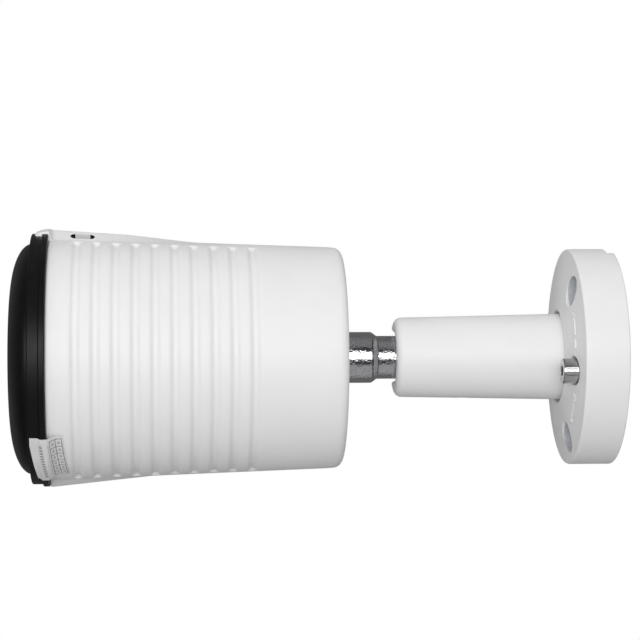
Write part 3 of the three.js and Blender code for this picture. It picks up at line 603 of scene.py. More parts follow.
def board_material(colours):
    """Solder mask over copper tracks on a square lattice, with round bare pads."""
    plain_values = {"IOR": 1.55, "Coat Weight": 0.35, "Coat Roughness": 0.2}
    material, tree, shader = new_material("circuit_board", plain_values)
    place = object_place(tree)
    faced = add_node(tree, "ShaderNodeMapping", {"Vector": place, "Rotation": (0.0, math.pi / 2, 0.0)})
    lattice = {
        "Vector": faced.outputs[0],
        "Scale": 420.0,
        "Mortar Size": 0.055,
        "Mortar Smooth": 0.3,
        "Brick Width": 1.1,
        "Row Height": 0.5,
    }
    tracks = add_node(tree, "ShaderNodeTexBrick", lattice).outputs["Fac"]
    cells = add_node(tree, "ShaderNodeTexVoronoi", {"Vector": place, "Scale": 330.0, "Randomness": 0.8})
    pads = ramp(tree, cells.outputs["Distance"], 0.15, 0.12)
    base = np.array(colours.board)
    tone = mix_colour(tree, tracks, tuple(base), tuple(base * 1.9 + 0.01))
    tone = mix_colour(tree, pads, tone, (0.62, 0.60, 0.52))
    bare = maths(tree, "MULTIPLY", pads, 0.85)
    feed(tree, shader, base_color=tone, metallic=bare, roughness=ramp(tree, pads, 0.0, 1.0, 0.42, 0.25))
    bump(tree, shader, maths(tree, "ADD", tracks, pads), 0.00003)
    return material


def glass_material(name, tint, rough=0.02):
    """Clear or smoked glass with faint wipe marks in its gloss."""
    plain_values = {"IOR": 1.5, "Transmission Weight": 1.0, "Base Color": (*tint, 1.0)}
    material, tree, shader = new_material(name, plain_values)
    marks = use_group(tree, "handling_marks", {"Streaks": 300.0, "Amount": 0.4})
    wiped = maths(tree, "MULTIPLY", marks.outputs["Mask"], 0.06)
    feed(tree, shader, roughness=maths(tree, "ADD", wiped, rough))
    return material


def lens_coating_material():
    """Front element: dark glass whose coating shifts from violet to green towards its edge."""
    plain_values = {"IOR": 1.6, "Coat Weight": 1.0, "Coat Roughness": 0.02, "Roughness": 0.05}
    material, tree, shader = new_material("coated_lens", plain_values)
    facing = add_node(tree, "ShaderNodeLayerWeight", {"Blend": 0.35}).outputs["Facing"]
    ripple = use_group(tree, "orange_peel", {"Grain": 60.0, "Wave": 30.0})
    tone = mix_colour(tree, ramp(tree, facing, 0.0, 0.6), (0.02, 0.012, 0.05), (0.01, 0.05, 0.03))
    uneven = maths(tree, "MULTIPLY", ripple.outputs["Mottle"], 0.3)
    feed(tree, shader, base_color=mix_colour(tree, uneven, tone, (0.03, 0.01, 0.06)))
    return material


def label_material(colours):
    """Silver-grey label with a ruled grid of blank boxes, on the label's own UV map.

    u runs 0 to 1 from the front edge to the back, v runs 0 to 1 from the upper edge to the lower. The
    grid is two columns of boxes; a band of short bars fills the front part.
    """
    material, tree, shader = new_material("ruled_label", {"IOR": 1.45, "Roughness": 0.5})
    sheet = add_node(tree, "ShaderNodeUVMap", uv_map="label").outputs[0]
    split = add_node(tree, "ShaderNodeSeparateXYZ", {"Vector": sheet})
    u, v = split.outputs["X"], split.outputs["Y"]

    def product(*masks):
        """Mask that is 1 where every mask is."""
        return chained(tree, "MULTIPLY", *masks)

    def largest(*masks):
        """Mask that is 1 where any mask is."""
        return chained(tree, "MAXIMUM", *masks)

    def line(value, at, half):
        """Mask that is 1 within half a line's width of a value."""
        return ramp(tree, maths(tree, "ABSOLUTE", maths(tree, "SUBTRACT", value, at)), half, half * 0.5)

    def between(value, low, high):
        """Mask that is 1 between two values."""
        return product(maths(tree, "GREATER_THAN", value, low), maths(tree, "LESS_THAN", value, high))

    def repeated(start, times):
        """How far down one of a number of equal rows a point lies, from 0 to 1."""
        down = maths(tree, "SUBTRACT", v, start) if start else v
        return maths(tree, "FRACT", maths(tree, "MULTIPLY", down, times))

    in_row = repeated(0.055, 6.7)
    grid_zone = product(between(u, 0.585, 0.975), between(v, 0.05, 0.96))
    rows = line(in_row, 0.01, 0.075)
    columns = largest(line(u, 0.60, 0.011), line(u, 0.785, 0.011), line(u, 0.965, 0.011))
    in_boxes = largest(between(u, 0.66, 0.73), between(u, 0.845, 0.915))
    figures = product(between(in_row, 0.35, 0.7), in_boxes, 0.45)
    dashes = product(between(repeated(0, 17.0), 0.2, 0.85), between(v, 0.1, 0.9))
    bands = largest(product(between(u, 0.27, 0.37), 0.6), product(between(u, 0.53, 0.555), 0.55))
    ink = largest(product(largest(rows, columns, figures), grid_zone), product(dashes, bands))
    fibres = use_group(tree, "orange_peel", {"Grain": 5200.0, "Wave": 1500.0})
    paper = np.array(colours.label)
    ground = mix_colour(tree, fibres.outputs["Mottle"], tuple(paper * 0.93), tuple(paper * 1.06))
    feed(tree, shader, base_color=mix_colour(tree, ink, ground, (0.05, 0.05, 0.055)))
    bump(tree, shader, fibres.outputs["Height"], 0.00002)
    return material


def rubber_material():
    """Matt silicone rubber with a fine bloom."""
    return plastic_material("silicone_rubber", (0.02, 0.02, 0.021), 0.72, 4200.0, 0.4)


def nylon_material():
    """Natural nylon: creamy, slightly waxy, with flow marks."""
    plain_values = {"IOR": 1.53, "Subsurface Weight": 0.15, "Subsurface Scale": 0.001}
    material, tree, shader = new_material("natural_nylon", plain_values)
    peel = use_group(tree, "orange_peel", {"Grain": 1800.0, "Wave": 160.0})
    tone = mix_colour(tree, peel.outputs["Mottle"], (0.70, 0.67, 0.58), (0.80, 0.78, 0.70))
    feed(tree, shader, base_color=tone, roughness=ramp(tree, peel.outputs["Mottle"], 0.0, 1.0, 0.45, 0.6))
    bump(tree, shader, peel.outputs["Height"], 0.00002)
    return material


MATERIAL_MAKERS = {
    "paint": paint_material,
    # the sunk screw seats: the paint darkened and blued, a painted shade in the recesses
    "seat_painted_shade": lambda c: paint_material(c, 0.62),
    "plastic": lambda c: plastic_material("satin_black_plastic", c.plastic, 0.36),
    "component": lambda c: plastic_material("moulded_component", (0.018, 0.018, 0.02), 0.5, 5200.0, 0.1),
    # near-black for the spine slots' walls and floor: a painted shade for the slots' depth
    "slot_painted_shade": lambda c: plastic_material("slot_painted_shade", (0.012, 0.012, 0.013), 0.6, 3000.0, 0.0),
    "chrome": chrome_material,
    "steel": lambda c: metal_material("plated_steel", c.steel, 0.24),
    "brass": lambda c: metal_material("turned_brass", (0.62, 0.44, 0.17), 0.28),
    "aluminium": lambda c: metal_material("extruded_aluminium", (0.68, 0.69, 0.70), 0.4, 2200.0),
    "cup": lambda c: metal_material("light_cup", (0.72, 0.70, 0.62), 0.2),
    "board": board_material,
    "window": lambda c: glass_material("smoked_window", (0.42, 0.43, 0.45)),
    "resin": lambda c: glass_material("clear_resin", (0.86, 0.90, 0.95), 0.05),
    "coated": lambda c: lens_coating_material(),
    "label": label_material,
    "rubber": lambda c: rubber_material(),
    "nylon": lambda c: nylon_material(),
}


def finish(name):
    """A material by its short name; it is made the first time that it is asked for."""
    made = bpy.data.materials.get("finish_" + name)
    if made is None:
        made = MATERIAL_MAKERS[name](bpy.context.scene.finish_settings)
        made.name = "finish_" + name
    return made


# ------------------------------------------------------------------ pieces of the head
def brow_profile(long):
    """Profile of the brow: forward over the bezel, round its tip, and back underneath to the rim."""
    return np.array(
        [
            (long - 0.1, 38.6),
            (long + 0.7, 38.58),
            (long + 1.5, 38.48),
            (long + 2.3, 38.3),
            (long + 3.0, 38.05),
            (long + 3.5, 37.82),
            (long + 3.8, 37.62),
            (long + 3.88, 37.5),
            (long + 3.8, 37.4),
            (long + 2.15, 37.4),
            (long + 2.05, 37.5),
            (long + 2.05, 38.1),
            (long + 0.1, 38.1),
            (long, 37.9),
        ]
    )


def housing_rows(sizes):
    """The housing's closed profile in millimetres, as (distance, radius) rows.

    It runs over the rear face, rounded rear edge, outer cone, front rim, spigot bore, cavity and rear
    wall. Also gives the slices of its rows that make the outer skin and the front rim.
    """
    long = sizes.long / MM
    rear, front = sizes.rear_radius / MM, sizes.front_radius / MM
    slope = (front - rear) / long
    edge = 2.6
    arc = np.linspace(0, math.pi / 2, 8)
    rear_face = [(0.0, r) for r in (5.3, 8.2, 16.0, 24.0, rear - edge - 1.0)]
    rear_edge = [(edge - edge * math.cos(a), rear - edge + edge * math.sin(a)) for a in arc]
    lead = np.array(rear_face + rear_edge)
    grooves_from = long - sizes.groove_first / MM - sizes.groove_pitch / MM * (sizes.grooves - 1) - 2.4
    plain_s = np.linspace(edge + 1.5, grooves_from - 1.0, 12)
    ribbed_s = np.arange(grooves_from, long - 4.6, 0.42)
    nose_s = np.linspace(long - 4.4, long - 0.62, 10)
    outer_s = np.concatenate([plain_s, ribbed_s, nose_s])
    outer = np.stack([outer_s, rear + slope * outer_s], axis=-1)
    turn = np.linspace(0.05, 0.95, len(brow_profile(long))) * math.pi / 2
    rim = np.stack([long - 0.6 + 0.6 * np.sin(turn), front - 0.6 + 0.6 * np.cos(turn)], axis=-1)
    inside = np.array(
        [
            (long, front - 1.6),
            (long, 32.9),
            (long - 0.3, 32.6),
            (long - 10.0, 32.6),
            (long - 11.0, front - slope * 11 - 2.6),
            (long / 2, rear + slope * long / 2 - 2.6),
            (4.7, rear + slope * 4.7 - 2.6),
            (3.7, rear - 3.2),
            (3.2, rear - 4.1),
            (3.2, 20.0),
            (3.2, 5.6),
            (2.9, 5.3),
            (0.3, 5.3),
        ]
    )
    rows = np.vstack([lead, outer, rim, inside])
    skin = slice(len(rear_face), len(lead) + len(outer))
    return rows, skin, slice(skin.stop, skin.stop + len(rim))


def housing_columns(sizes, rows, skin):
    """Angles of the grid, and how far round the skin each column lies from the nearer spine.

    Columns lie at a fixed distance from the middle plane over the two spines, and are spread evenly
    in angle over the sides.
    """
    half, front = sizes.spine_half / MM, sizes.front_radius / MM
    reference = np.full(len(rows), front)
    reference[skin] = rows[skin, 1]
    spine_y = np.array(
        [0.0, 0.25, 0.6, 1.1, 1.6, 1.85, 2.05, 2.4, 2.9, 3.6, 4.3, 4.8, 5.15, 5.4, 5.9, 6.4, 6.8, 7.0, 7.1]
    )
    spine_y = np.concatenate([-spine_y[:0:-1], spine_y]) * (half / 7.2)
    side_long = (math.pi - 2 * math.asin(half / front)) * front
    near_end = np.array([0.0, 0.1, 0.2, 0.35, 0.55, 0.8, 1.1, 1.45, 1.85, 2.3, 2.85, 3.5])
    middle = np.linspace(4.3, side_long - 4.3, 86)
    side_at = np.concatenate([near_end, middle, side_long - near_end[::-1]]) / side_long
    edge_angle = np.arcsin(np.clip(half / reference, 0, 1))[:, None]
    spine_angle = np.arcsin(np.clip(spine_y[None, :] / reference[:, None], -1, 1))
    side_angle = edge_angle + side_at[None, :] * (math.pi - 2 * edge_angle)
    angle = np.concatenate([spine_angle, side_angle, math.pi + spine_angle, math.pi + side_angle], axis=1)
    on_spine = np.zeros(len(spine_y))
    share = np.concatenate([on_spine, side_at, on_spine, side_at])
    return angle, np.minimum(share, 1 - share) * side_long


def spine_radius(cone, crest, across, half):
    """Radius of a spine: flat flanks from a crest over the cone down to the strip's edges, blended in."""
    peak = cone + crest
    foot = np.sqrt(np.maximum(cone**2 - half**2, 0)) - 0.25
    flank = peak - (peak - foot) * np.sqrt(across**2 + 0.12) / half
    height = np.sqrt(np.maximum(cone**2 - across**2, 0))
    raised = height + 0.5 * (flank - height + np.sqrt((flank - height) ** 2 + 0.012))
    return np.hypot(raised, across)


def housing_solid(sizes):
    """The housing as one closed grid of profile rows and angle columns.

    The outer radius is the cone, less the grooves' depth on the sides, or a spine's flat flanks where
    they stand higher. At the rim the brow's profile replaces the plain edge over the top spine.
    """
    long, half = sizes.long / MM, sizes.spine_half / MM
    rows, skin, rim = housing_rows(sizes)
    angle, from_spine = housing_columns(sizes, rows, skin)
    distance = np.repeat(rows[:, :1], angle.shape[1], axis=1)
    cone = np.repeat(rows[:, 1:], angle.shape[1], axis=1)
    across = cone * np.sin(angle)
    over = np.abs(across)
    upper = np.cos(angle) > 0
    is_skin = np.zeros((len(rows), 1), bool)
    is_skin[skin] = True
    with_rim = is_skin.copy()
    with_rim[rim] = True
    # grooves on the sides
    centres = long - sizes.groove_first / MM - np.arange(sizes.grooves) * sizes.groove_pitch / MM
    off = np.abs(rows[:, :1] - centres[None, :]).min(axis=1, initial=99.0)[:, None]
    trough = 1 - smooth(off, 0.35, sizes.groove_width / MM / 2)
    fade = smooth(from_spine, 0.1, 1.7)[None, :]
    radius = cone - np.where(is_skin, trough * fade * sizes.groove_depth / MM, 0)
    # spines; the lower one runs out over the rim
    top = np.interp(rows[:, 0], [long - 43.8, long - 22.8, long], [0.0, 1.85, sizes.top_spine / MM])[:, None]
    low = np.interp(rows[:, 0], [long - 34.0, long], [0.0, sizes.low_spine / MM])[:, None]
    for crest, side, part in ((top, upper, is_skin), (low, ~upper, with_rim)):
        raised = part & side & (over < half + 0.6) & (crest > 0.001)
        radius = np.where(raised, spine_radius(cone, crest, across, half), radius)
    # nose and brow over the bezel
    brow = brow_profile(long)
    over_nose = 1 - smooth(over, half - 1.0, half + 0.45)
    rise = smooth(rows[:, :1], long - 1.3, long - 0.2) * over_nose * upper
    nose = radius * (1 - rise) + brow[0, 1] * rise
    radius = np.where(is_skin, np.maximum(radius, nose), radius)
    share = (1 - smooth(over[rim], half - 0.15, half + 0.15)) * upper[rim]
    distance[rim] += (brow[:, :1] - rows[rim, :1]) * share
    radius[rim] += (brow[:, 1:] - rows[rim, 1:]) * share
    points = around(HEAD_AT + distance * MM, radius * MM, angle)
    return points.reshape(-1, 3), [quads(*angle.shape)]


SLOT_BEHIND = 9.9  # middle of a spine slot behind the rim, in millimetres
SLOT_OUT = 3.6  # middle of a spine slot, out from the middle plane
SLOT_STRAIGHT = 2.05  # half length of its straight part
SLOT_LEAN = math.radians(20)  # lean of the spine's flank


def slot_solid(sizes, side):
    """Cutter for the long blind slot in one flank of the top spine: a bar with half-round ends.

    Its floor is 2.2 mm under the flank and its sides lean with the flank's slope.
    """
    behind = sizes.long / MM - SLOT_BEHIND
    turn = (np.arange(32) + 0.5) * TURN / 32
    along = behind + np.where(np.cos(turn) > 0, SLOT_STRAIGHT, -SLOT_STRAIGHT) + 1.55 * np.cos(turn)
    off = 1.55 * np.sin(turn)
    height = sizes.rear_radius / MM + (sizes.front_radius - sizes.rear_radius) / MM * 0.9 + 0.9
    rows = []
    for lift in (-2.2, 4.0):
        out = SLOT_OUT + off * math.cos(SLOT_LEAN) + lift * math.sin(SLOT_LEAN)
        up = height - off * math.sin(SLOT_LEAN) + lift * math.cos(SLOT_LEAN)
        rows.append(np.stack([-(HEAD_AT + along * MM), side * out * MM, up * MM], axis=-1))
    floor, top = np.arange(32)[None, ::-1], np.arange(32, 64)[None, :]
    return np.concatenate(rows), [quads(2, 32, close_rows=False), floor, top]


def darkened(mesh, dark_index, inside):
    """Gives the second material, a painted shade, to the faces whose middle passes a test on (x, y, z)."""
    middle = np.zeros(len(mesh.polygons) * 3, np.float32)
    mesh.polygons.foreach_get("center", middle)
    index = np.where(inside(middle.reshape(-1, 3)), dark_index, 0)
    mesh.polygons.foreach_set("material_index", index.astype(np.int32))


class SECURITY_CAMERA_OT_housing(bpy.types.Operator):
    """Build the ribbed housing with its spines and its brow"""

    bl_idname = "security_camera.housing"
    bl_label = "Housing"

    def execute(self, context):
        sizes = context.scene.housing_settings
        mesh = carved("housing", housing_solid(sizes), [slot_solid(sizes, -1), slot_solid(sizes, 1)])
        # the slots' walls and floor take the near-black second material, a painted shade
        finishes = [finish("paint"), finish("slot_painted_shade")]
        add_piece("housing", mesh, "head", finishes, ["body_shell"], 40)
        middle_x = -(HEAD_AT + sizes.long - SLOT_BEHIND * MM)
        flank = SHELL_HIGH[2] - 2.35 * MM

        def in_slot(at):
            along = np.maximum(np.abs(at[:, 0] - middle_x) - SLOT_STRAIGHT * MM, 0)
            off = np.abs(at[:, 1]) - SLOT_OUT * MM
            drop = at[:, 2] - (flank - off * math.tan(SLOT_LEAN))
            in_outline = np.hypot(along, off + 0.4 * MM) < 1.9 * MM
            return in_outline & (drop < -0.3 * MM) & (drop > -3.2 * MM)

        darkened(mesh, 1, in_slot)
        return {"FINISHED"}


def head_ring(corners, columns=160):
    """A turned ring on the head's axis; distances are in millimetres from the housing's rear face."""
    profile = rounded(corners)
    profile = np.stack([HEAD_AT + profile[:, 0] * MM, profile[:, 1] * MM], axis=-1)
    return ring_solid(profile, columns=columns)


class SECURITY_CAMERA_OT_bezel(bpy.types.Operator):
    """Build the two-step bezel that screws into the housing"""

    bl_idname = "security_camera.bezel"
    bl_label = "Bezel"

    def execute(self, context):
        rim = context.scene.housing_settings.long / MM
        step = rim + 1.8
        end = rim + BEZEL_LONG
        corners = [
            (rim - 9.0, 29.6),
            (rim - 9.0, 32.3, 0.3),
            (rim - 3.2, 32.3, 0.1),
            (rim - 3.2, 30.9, 0.1),
            (rim - 1.4, 30.9, 0.1),
            (rim - 1.4, 32.3, 0.1),
            (rim, 32.3),
            (rim, 37.9, 0.3),
            (step, 37.9, 0.35),
            (step, 37.2, 0.12),
            (end, 37.2, 0.45),
            (end, 33.8, 0.2),
            (rim + 2.3, 33.8),
            (rim + 2.3, 29.6),
        ]
        ring = head_ring(corners, 192)
        add_piece("bezel", ring, "head", finish("plastic"), ["front_bezel"], 50)
        return {"FINISHED"}


DOME_RADIUS = 34.2  # outer radius of the domed cover, in millimetres


def dome_height(radius, front, base):
    """Distance of the dome's skin: base + deep * (1 - u^p)^(1/p), u being the share of the shoulder."""
    flat = front.dome_flat / MM
    u = min(max((radius - flat) / (DOME_RADIUS - flat), 0.0), 1.0)
    return base + front.dome_deep / MM * max(1 - u**front.dome_power, 0.0) ** (1 / front.dome_power)


class SECURITY_CAMERA_OT_cover(bpy.types.Operator):
    """Build the domed cover that carries the window"""

    bl_idname = "security_camera.cover"
    bl_label = "Front cover"

    def execute(self, context):
        front = context.scene.front_settings
        base = context.scene.housing_settings.long / MM + BEZEL_LONG
        open_r = front.window_radius / MM + 0.3
        turn = np.linspace(0.0, math.pi / 2, 34)
        radii = DOME_RADIUS - (DOME_RADIUS - open_r - 0.25) * (1 - np.cos(turn))
        dome = [(dome_height(r, front, base), r) for r in radii.tolist()]
        ledge = dome_height(open_r, front, base) - 3.5
        corners = [(base - 0.9, 33.5, 0.2), (base, 33.5), *dome]
        corners += [
            (dome[-1][0] - 0.3, open_r),
            (ledge, open_r),
            (ledge, 18.2, 0.15),
            (ledge - 1.9, 18.2, 0.15),
            (ledge - 1.9, 19.7),
            (dome_height(22.6, front, base) - 2.3, 22.6),
            (dome_height(27.3, front, base) - 2.2, 27.3),
            (base + 1.2, 31.2),
            (base - 0.9, 31.2),
        ]
        ring = head_ring(corners, 192)
        add_piece("domed_cover", ring, "head", finish("plastic"), ["front_cover"], 50)
        return {"FINISHED"}


class SECURITY_CAMERA_OT_window(bpy.types.Operator):
    """Build the flat window with its ground edge"""

    bl_idname = "security_camera.window"
    bl_label = "Window"

    def execute(self, context):
        front = context.scene.front_settings
        low, high = node_box("front_window")
        face = -low[0] / MM - HEAD_AT / MM
        back = -high[0] / MM - HEAD_AT / MM
        r = front.window_radius / MM
        rear = [(back, 0), (back, r * 0.5), (back, r - 0.3), (back + 0.3, r)]
        ground = [(face - 0.4, r), (face - 0.1, r - 0.25), (face, r - 0.6)]
        profile = np.array([*rear, *ground, (face, r * 0.5), (face, 0)])
        solid = placed(cored_solid(profile * MM, 128), (-HEAD_AT, 0, 0))
        add_piece("window_glass", solid, "head", finish("window"), ["front_window"], 25)
        return {"FINISHED"}


def light_solid(back):
    """A round light: flange, body and domed tip."""
    flange = [(back, 0), (back, 1.2), (back, 2.4), (back + 0.1, 2.5), (back + 0.7, 2.5), (back + 0.8, 2.28)]
    tip = np.linspace(0, math.pi / 2, 9)[:-1]
    dome = [(back + 1.5 + 2.05 * math.sin(a), 2.25 * math.cos(a)) for a in tip]
    return cored_solid(np.array([*flange, *dome, (back + 3.56, 0)]) * MM, 32)


def cup_solid(back):
    """The cup inside a light: a cylinder with a dished face that holds a small chip."""
    cup = [(0.2, 0), (0.2, 1.0), (0.3, 1.1), (1.3, 1.3), (1.4, 1.2), (1.0, 0.6)]
    chip = [(1.0, 0.35), (1.2, 0.3), (1.2, 0)]
    return cored_solid((np.array(cup + chip) + [back, 0]) * MM, 20)


class SECURITY_CAMERA_OT_lights(bpy.types.Operator):
    """Build the ring of infrared lights and the daylight sensor"""

    bl_idname = "security_camera.lights"
    bl_label = "Infrared lights"

    def execute(self, context):
        circle = context.scene.front_settings.light_circle
        board_front = (-node_box("light_board")[0][0] - HEAD_AT) / MM
        for i in range(8):
            azimuth = (i + 0.5) * TURN / 8
            at = (-HEAD_AT, -circle * math.sin(azimuth), circle * math.cos(azimuth))
            lamp = placed(light_solid(board_front), at)
            cup = placed(cup_solid(board_front), at)
            node = f"ir_light_{i + 1}"
            add_piece(f"light_{i + 1}", lamp, "head", finish("resin"), [node], 40)
            add_piece(f"light_cup_{i + 1}", cup, "head", finish("cup"), (), 40)
        profile = np.array([(0, 0), (0, 1.3), (0.1, 1.45), (0.9, 1.4), (1.4, 1.1), (1.75, 0.6), (1.95, 0)])
        profile[:, 0] += board_front
        eye = placed(cored_solid(profile * MM, 32), (-HEAD_AT, 0, circle))
        add_piece("daylight_eye", eye, "head", finish("window"), ["daylight_sensor"], 40)
        return {"FINISHED"}


class SECURITY_CAMERA_OT_lens(bpy.types.Operator):
    """Build the lens barrel, its front element and its hood ring"""

    bl_idname = "security_camera.lens"
    bl_label = "Lens"

    def execute(self, context):
        low, high = node_box("lens_barrel")
        front = (-low[0] - HEAD_AT) / MM
        rear = (-high[0] - HEAD_AT) / MM
        shoulder = front - 10.5
        seat = front - 2.6
        steps = [(front - 0.5 - 0.45 * k, 6.1 - 0.16 * k) for k in range(5)]
        corners = [
            (rear, 3.6),
            (rear, 5.9, 0.2),
            (shoulder, 5.9),
            (shoulder, 7.2, 0.3),
            (front, 7.2, 0.35),
            (front, 6.3, 0.1),
        ]
        for distance, radius in steps:
            corners += [(distance, radius), (distance - 0.22, radius)]
        corners += [(seat, 5.3), (seat, 3.6)]
        profile = rounded(corners)
        columns = 240
        angle = np.arange(columns) * TURN / columns
        distance = np.repeat(profile[:, :1], columns, axis=1)
        radius = np.repeat(profile[:, 1:], columns, axis=1)
        knurled = (radius > 7.1) & (distance > shoulder + 1.5) & (distance < front - 1.5)
        radius = radius + np.where(knurled, 0.12 * np.cos(60 * angle)[None, :] - 0.12, 0.0)
        points = around(HEAD_AT + distance * MM, radius * MM, angle[None, :]).reshape(-1, 3)
        tube = points, [quads(len(profile), columns)]
        add_piece("lens_tube", tube, "head", finish("component"), ["lens_barrel"], 30)
        share = np.linspace(1, 0, 10)[:-1]
        bulge = [(seat + 0.5 + 1.25 * math.sqrt(max(1 - t * t, 0)), 5.05 * t) for t in share]
        profile = np.array([(seat, 0), (seat, 2.5), (seat, 5.05), *bulge, (seat + 1.78, 0)])
        glass = placed(cored_solid(profile * MM, 64), (-HEAD_AT, 0, 0))
        add_piece("front_element", glass, "head", finish("coated"), ["lens_glass"], 30)
        low, high = node_box("lens_hood_ring")
        near, far = (-high[0] - HEAD_AT) / MM, (-low[0] - HEAD_AT) / MM
        corners = [(near, 8.6), (near, 10.4, 0.3), (far, 10.35, 0.6), (far, 8.7, 0.5)]
        hood = head_ring(corners, 96)
        add_piece("foam_hood", hood, "head", finish("rubber"), ["lens_hood_ring"], 40)
        return {"FINISHED"}


def label_solid(sizes, paper=0.13):
    """The label: a thin sheet that follows the bezel's steps and the housing's cone.

    The first parameter runs along a path of (distance, radius) points over the steps, the second
    along the angle. Two such grids, a paper's thickness apart, are joined round their edges.
    """
    rim = sizes.long / MM
    slope = (sizes.front_radius - sizes.rear_radius) / sizes.long
    path = np.array(
        [
            (rim + 4.65, 37.25),
            (rim + 2.5, 37.27),
            (rim + 2.05, 37.5),
            (rim + 1.65, 37.93),
            (rim + 0.2, 37.95),
            (rim - 0.4, 37.9),
            (rim - 1.4, 37.2),
            (rim - 2.4, 36.45),
            (rim - 3.4, 36.08),
            (rim - 6.3, sizes.front_radius / MM - slope * 6.3 + 0.16),
        ]
    )
    reach = np.concatenate([[0], np.cumsum(np.hypot(*np.diff(path, axis=0).T))])
    fine = np.linspace(0, reach[-1], 200)
    soften = np.ones(7) / 7
    path_s = np.convolve(np.pad(np.interp(fine, reach, path[:, 0]), 3, "edge"), soften, "valid")
    path_r = np.convolve(np.pad(np.interp(fine, reach, path[:, 1]), 3, "edge"), soften, "valid")
    v = np.linspace(0, 1, 48)
    first = np.interp(-(rim + 4.9 - 2.1 * v), -path_s, fine)
    last = np.interp(-(rim - 4.6 - 1.6 * v), -path_s, fine)
    at = first + np.linspace(0, 1, 56)[:, None] * (last - first)
    distance = np.interp(at, fine, path_s)
    radius = np.interp(at, fine, path_r)
    angle = math.pi - np.radians(56.3 - 31.0 * v)[None, :] + 0 * at
    grids = []
    for lift in (paper, 0.0):
        grids.append(around(HEAD_AT + distance * MM, (radius + lift) * MM, angle))
    rows, columns = at.shape
    points = np.concatenate([grid.reshape(-1, 3) for grid in grids])
    size = rows * columns
    top = quads(rows, columns, False, False)
    bottom = quads(rows, columns, False, False, size)[:, ::-1]
    index = np.arange(size).reshape(rows, columns)
    loop = np.concatenate([index[0, :], index[1:, -1], index[-1, -2::-1], index[-2:0:-1, 0]])
    following = np.roll(loop, -1)
    wall = np.stack([following, loop, loop + size, following + size], axis=-1)
    u = np.repeat(np.linspace(0, 1, rows), columns)
    uv = np.tile(np.stack([u, np.tile(v, rows)], axis=-1), (2, 1))
    return (points, [top, bottom, wall[:, ::-1]]), uv


class SECURITY_CAMERA_OT_label(bpy.types.Operator):
    """Build the small ruled label that wraps over the bezel's steps"""

    bl_idname = "security_camera.label"
    bl_label = "Label"

    def execute(self, context):
        solid, uv = label_solid(context.scene.housing_settings)
        mesh = make_mesh("ruled_label", solid)
        layer = mesh.uv_layers.new(name="label")
        corner = np.zeros(len(mesh.loops), np.int32)
        mesh.loops.foreach_get("vertex_index", corner)
        layer.data.foreach_set("uv", uv[corner].astype(np.float32).ravel())
        add_piece("ruled_label", mesh, "head", finish("label"), ["warranty_label"], 50)
        return {"FINISHED"}


